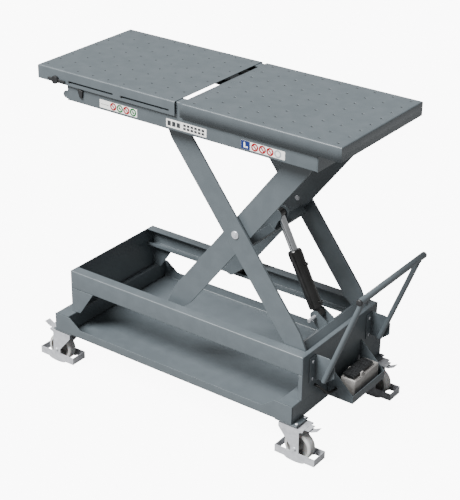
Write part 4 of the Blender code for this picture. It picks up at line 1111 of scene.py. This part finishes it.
BRACKET_SCREW_IN, BRACKET_T, BRACKET_SCREW_Z = 0.035, 0.0049, (0.016, 0.114)
for side_name, side in SIDES:
    low, high, mid = place_of("handle_bracket_" + side_name)
    y = high[1] - BRACKET_SCREW_IN
    heads = [button_head((low[0] + BRACKET_T, y, low[2] + z), (1, 0, 0), 0.009, 0.006)
             for z in BRACKET_SCREW_Z]
    piece("bracket_screws_" + side_name, heads, ZINC, "base")
print("screws on", len(TAGS), "casters and", len(SIDES), "brackets")

# %% [markdown]
# ## Stickers
# Printed vinyl on the front of the top frame.  An image would be the usual way to print it, but plain
# shapes need no file and stay sharp.  Each sheet lies just off the steel, and its prints lie just
# off the sheet, so nothing shares a face.

# %% Vinyl and the shapes of a print
VINYL = {name: finish("vinyl_" + name, code, 0.35)[0] for name, code in
         {"white": "E4E4E0", "red": "8E0610", "green": "055C28", "dark": "2B2D30",
          "blue": "071F5C", "grey": "9DA2A6"}.items()}
sticker_y = place_of("top_rail_front")[0][1]
FILM = 0.0003


def flat_print(outline, lift):
    """A thin closed plate in front of the frame, standing off by the given lift."""
    return extrusion(outline, "Y", sticker_y - lift - FILM, sticker_y - lift)


def rounded(x0, x1, z0, z1, r):
    """Rectangle whose corners are quarter circles."""
    a = np.linspace(0, np.pi / 2, 5)
    corners = ((x1 - r, z1 - r, 0), (x0 + r, z1 - r, 1), (x0 + r, z0 + r, 2), (x1 - r, z0 + r, 3))
    return np.concatenate([np.stack([x + r * np.cos(a + q * np.pi / 2),
                                     z + r * np.sin(a + q * np.pi / 2)], -1) for x, z, q in corners])


def ring(x, z, outer, inner):
    """A flat ring: four circles, outer and inner, at two depths, joined round the section."""
    profile = [(inner, 0), (outer, 0), (outer, FILM), (inner, FILM), (inner, 0)]
    return lathe(profile, (x, sticker_y - FILM, z), (0, -1, 0), 28)


def bar_across(x, z, half, width):
    """A bar inside a ring, slanted by 45 degrees."""
    d, n = np.array([0.707, -0.707]), np.array([0.707, 0.707])
    corners = [half * d + width * n, -half * d + width * n, -half * d - width * n,
               half * d - width * n]
    return flat_print(np.array(corners) + (x, z), FILM)


print("vinyl in", ", ".join(VINYL))

# %% [markdown]
# ## Ring stickers
# Two white sheets carry rows of rings with a bar across them, the usual form of a warning.  Rings of
# one colour are one piece, because they come from one printing plate.

# %% Ring stickers
STICKER_LOW, STICKER_HIGH = 1.572, 1.615
mid_z = (STICKER_LOW + STICKER_HIGH) / 2
RING_OUT, RING_IN = 0.0200, 0.0118


def printed(name, shapes, colour):
    piece(name, shapes, VINYL[colour], "platform")


def sheet_of_vinyl(name, x0, x1):
    printed(name, [flat_print(rounded(x0, x1, STICKER_LOW, STICKER_HIGH, 0.003), 0)], "white")


def barred_rings(name, xs, half, width, colour):
    """A ring and its bar at each x."""
    printed(name, [shape for x in xs for shape in (ring(x, mid_z, RING_OUT, RING_IN),
                                                   bar_across(x, mid_z, half, width))], colour)


sheet_of_vinyl("sticker_left", -0.549, -0.308)
ring_x = -0.461 + 0.0425 * np.arange(4)
sheet_of_vinyl("sticker_right", 0.319, 0.566)
warn_x = 0.397 + 0.0430 * np.arange(4)
barred_rings("left_red_rings", ring_x[::2], 0.0130, 0.0034, "red")
barred_rings("left_green_rings", ring_x[1::2], 0.008, 0.0045, "green")
printed("left_marks", [flat_print(rounded(-0.540, -0.488, mid_z - 0.002, mid_z, 0.0005), FILM)], "dark")
barred_rings("right_red_rings", warn_x[:3], 0.0130, 0.0034, "red")
print("rings", len(ring_x) + len(warn_x))

# %% [markdown]
# ## Blue square and bars
# The right sheet also has a blue square with a white figure, and the middle sheet has rows of dark
# bars where a load plate has its lettering.  They are plain blocks and say nothing.

# %% Blue square and bars
blue = rounded(0.3195, 0.370, STICKER_LOW + 0.0005, STICKER_HIGH - 0.0005, 0.002)
printed("right_blue_square", [flat_print(blue, FILM)], "blue")
figure = [rounded(0.334, 0.343, STICKER_LOW + 0.008, STICKER_HIGH - 0.008, 0.002),
          rounded(0.345, 0.358, STICKER_LOW + 0.008, STICKER_LOW + 0.016, 0.002)]
printed("right_blue_figure", [flat_print(outline, 2 * FILM) for outline in figure], "white")
printed("right_grey_ring", [ring(warn_x[3], mid_z, RING_OUT, RING_IN)], "grey")
sheet_of_vinyl("sticker_middle", -0.126, 0.117)
block_x = -0.118 + 0.028 * np.arange(3)
row_x = -0.022 + 0.022 * np.arange(6)
bars = [rounded(x, x + 0.021, STICKER_LOW + 0.009, STICKER_HIGH - 0.009, 0.002) for x in block_x]
bars += [rounded(x, x + 0.016, z, z + 0.012, 0.001) for x in row_x
         for z in (STICKER_LOW + 0.007, STICKER_LOW + 0.024)]
printed("middle_bars", [flat_print(outline, FILM) for outline in bars], "dark")
print("bars", len(bars))

# %% [markdown]
# ## Floor
# The table stands on a plain pale floor.  A truly white one would throw so much light back that the
# sides facing away from the lamp lose their depth.  So the floor glows white to the camera, but its
# surface is grey to every other ray.

# %% Floor
FLOOR_HALF, FLOOR_GLOW = 40.0, 9.0
floor_mat, tree, floor_shader = finish("studio_floor", "7C7C7C", 0.9)
seen = add_node(tree, "ShaderNodeLightPath")
glow = add_node(tree, "ShaderNodeMath", {"operation": "MULTIPLY"})
tree.links.new(seen.outputs["Is Camera Ray"], glow.inputs[0])
glow.inputs[1].default_value = FLOOR_GLOW
floor_shader.inputs["Emission Color"].default_value = linear("FFFFFF")
tree.links.new(glow.outputs["Value"], floor_shader.inputs["Emission Strength"])
floor_points, floor_faces = grid([[(-FLOOR_HALF, -FLOOR_HALF, 0), (-FLOOR_HALF, FLOOR_HALF, 0)],
                                  [(FLOOR_HALF, -FLOOR_HALF, 0), (FLOOR_HALF, FLOOR_HALF, 0)]])
floor_mesh = bpy.data.meshes.new("floor")
floor_mesh.from_pydata(floor_points.tolist(), [], floor_faces)
floor_mesh.flip_normals()
floor_mesh.materials.append(floor_mat)
floor = bpy.data.objects.new("floor", floor_mesh)
bpy.context.scene.collection.objects.link(floor)
print("floor", 2 * FLOOR_HALF, "m square")

# %% [markdown]
# ## Light
# The key is broad, high and to the front left, like a large softbox.  A sun light with a wide angle
# gives the same soft shadow edge over the whole table, where an area lamp would fall off along it.
# An even sky fills the rest, weakly, so that the shaded sides stay dark.


# %% Light
def broad_light(name, place, target, spread, strength):
    """Even light from one side: its spread in degrees makes the shadow's edge soft."""
    light = bpy.data.lights.new(name, "SUN")
    light.angle, light.energy = np.radians(spread), strength
    obj = bpy.data.objects.new(name, light)
    obj.location = place
    obj.rotation_mode = "QUATERNION"
    obj.rotation_quaternion = (Vector(target) - Vector(place)).to_track_quat("-Z", "Y")
    bpy.context.scene.collection.objects.link(obj)


MIDDLE = (0.0, 0.0, 0.9)
KEY_PLACE, KEY_SPREAD, KEY_STRENGTH, SKY_STRENGTH = (-1.8, -4.0, 6.6), 30, 11.6, 0.33
broad_light("key", KEY_PLACE, MIDDLE, KEY_SPREAD, KEY_STRENGTH)
sky = bpy.data.worlds.new("sky")
sky.use_nodes = True
sky.node_tree.nodes["Background"].inputs["Color"].default_value = linear("FFFFFF")
sky.node_tree.nodes["Background"].inputs["Strength"].default_value = SKY_STRENGTH
bpy.context.scene.world = sky
print("one key light and the sky")
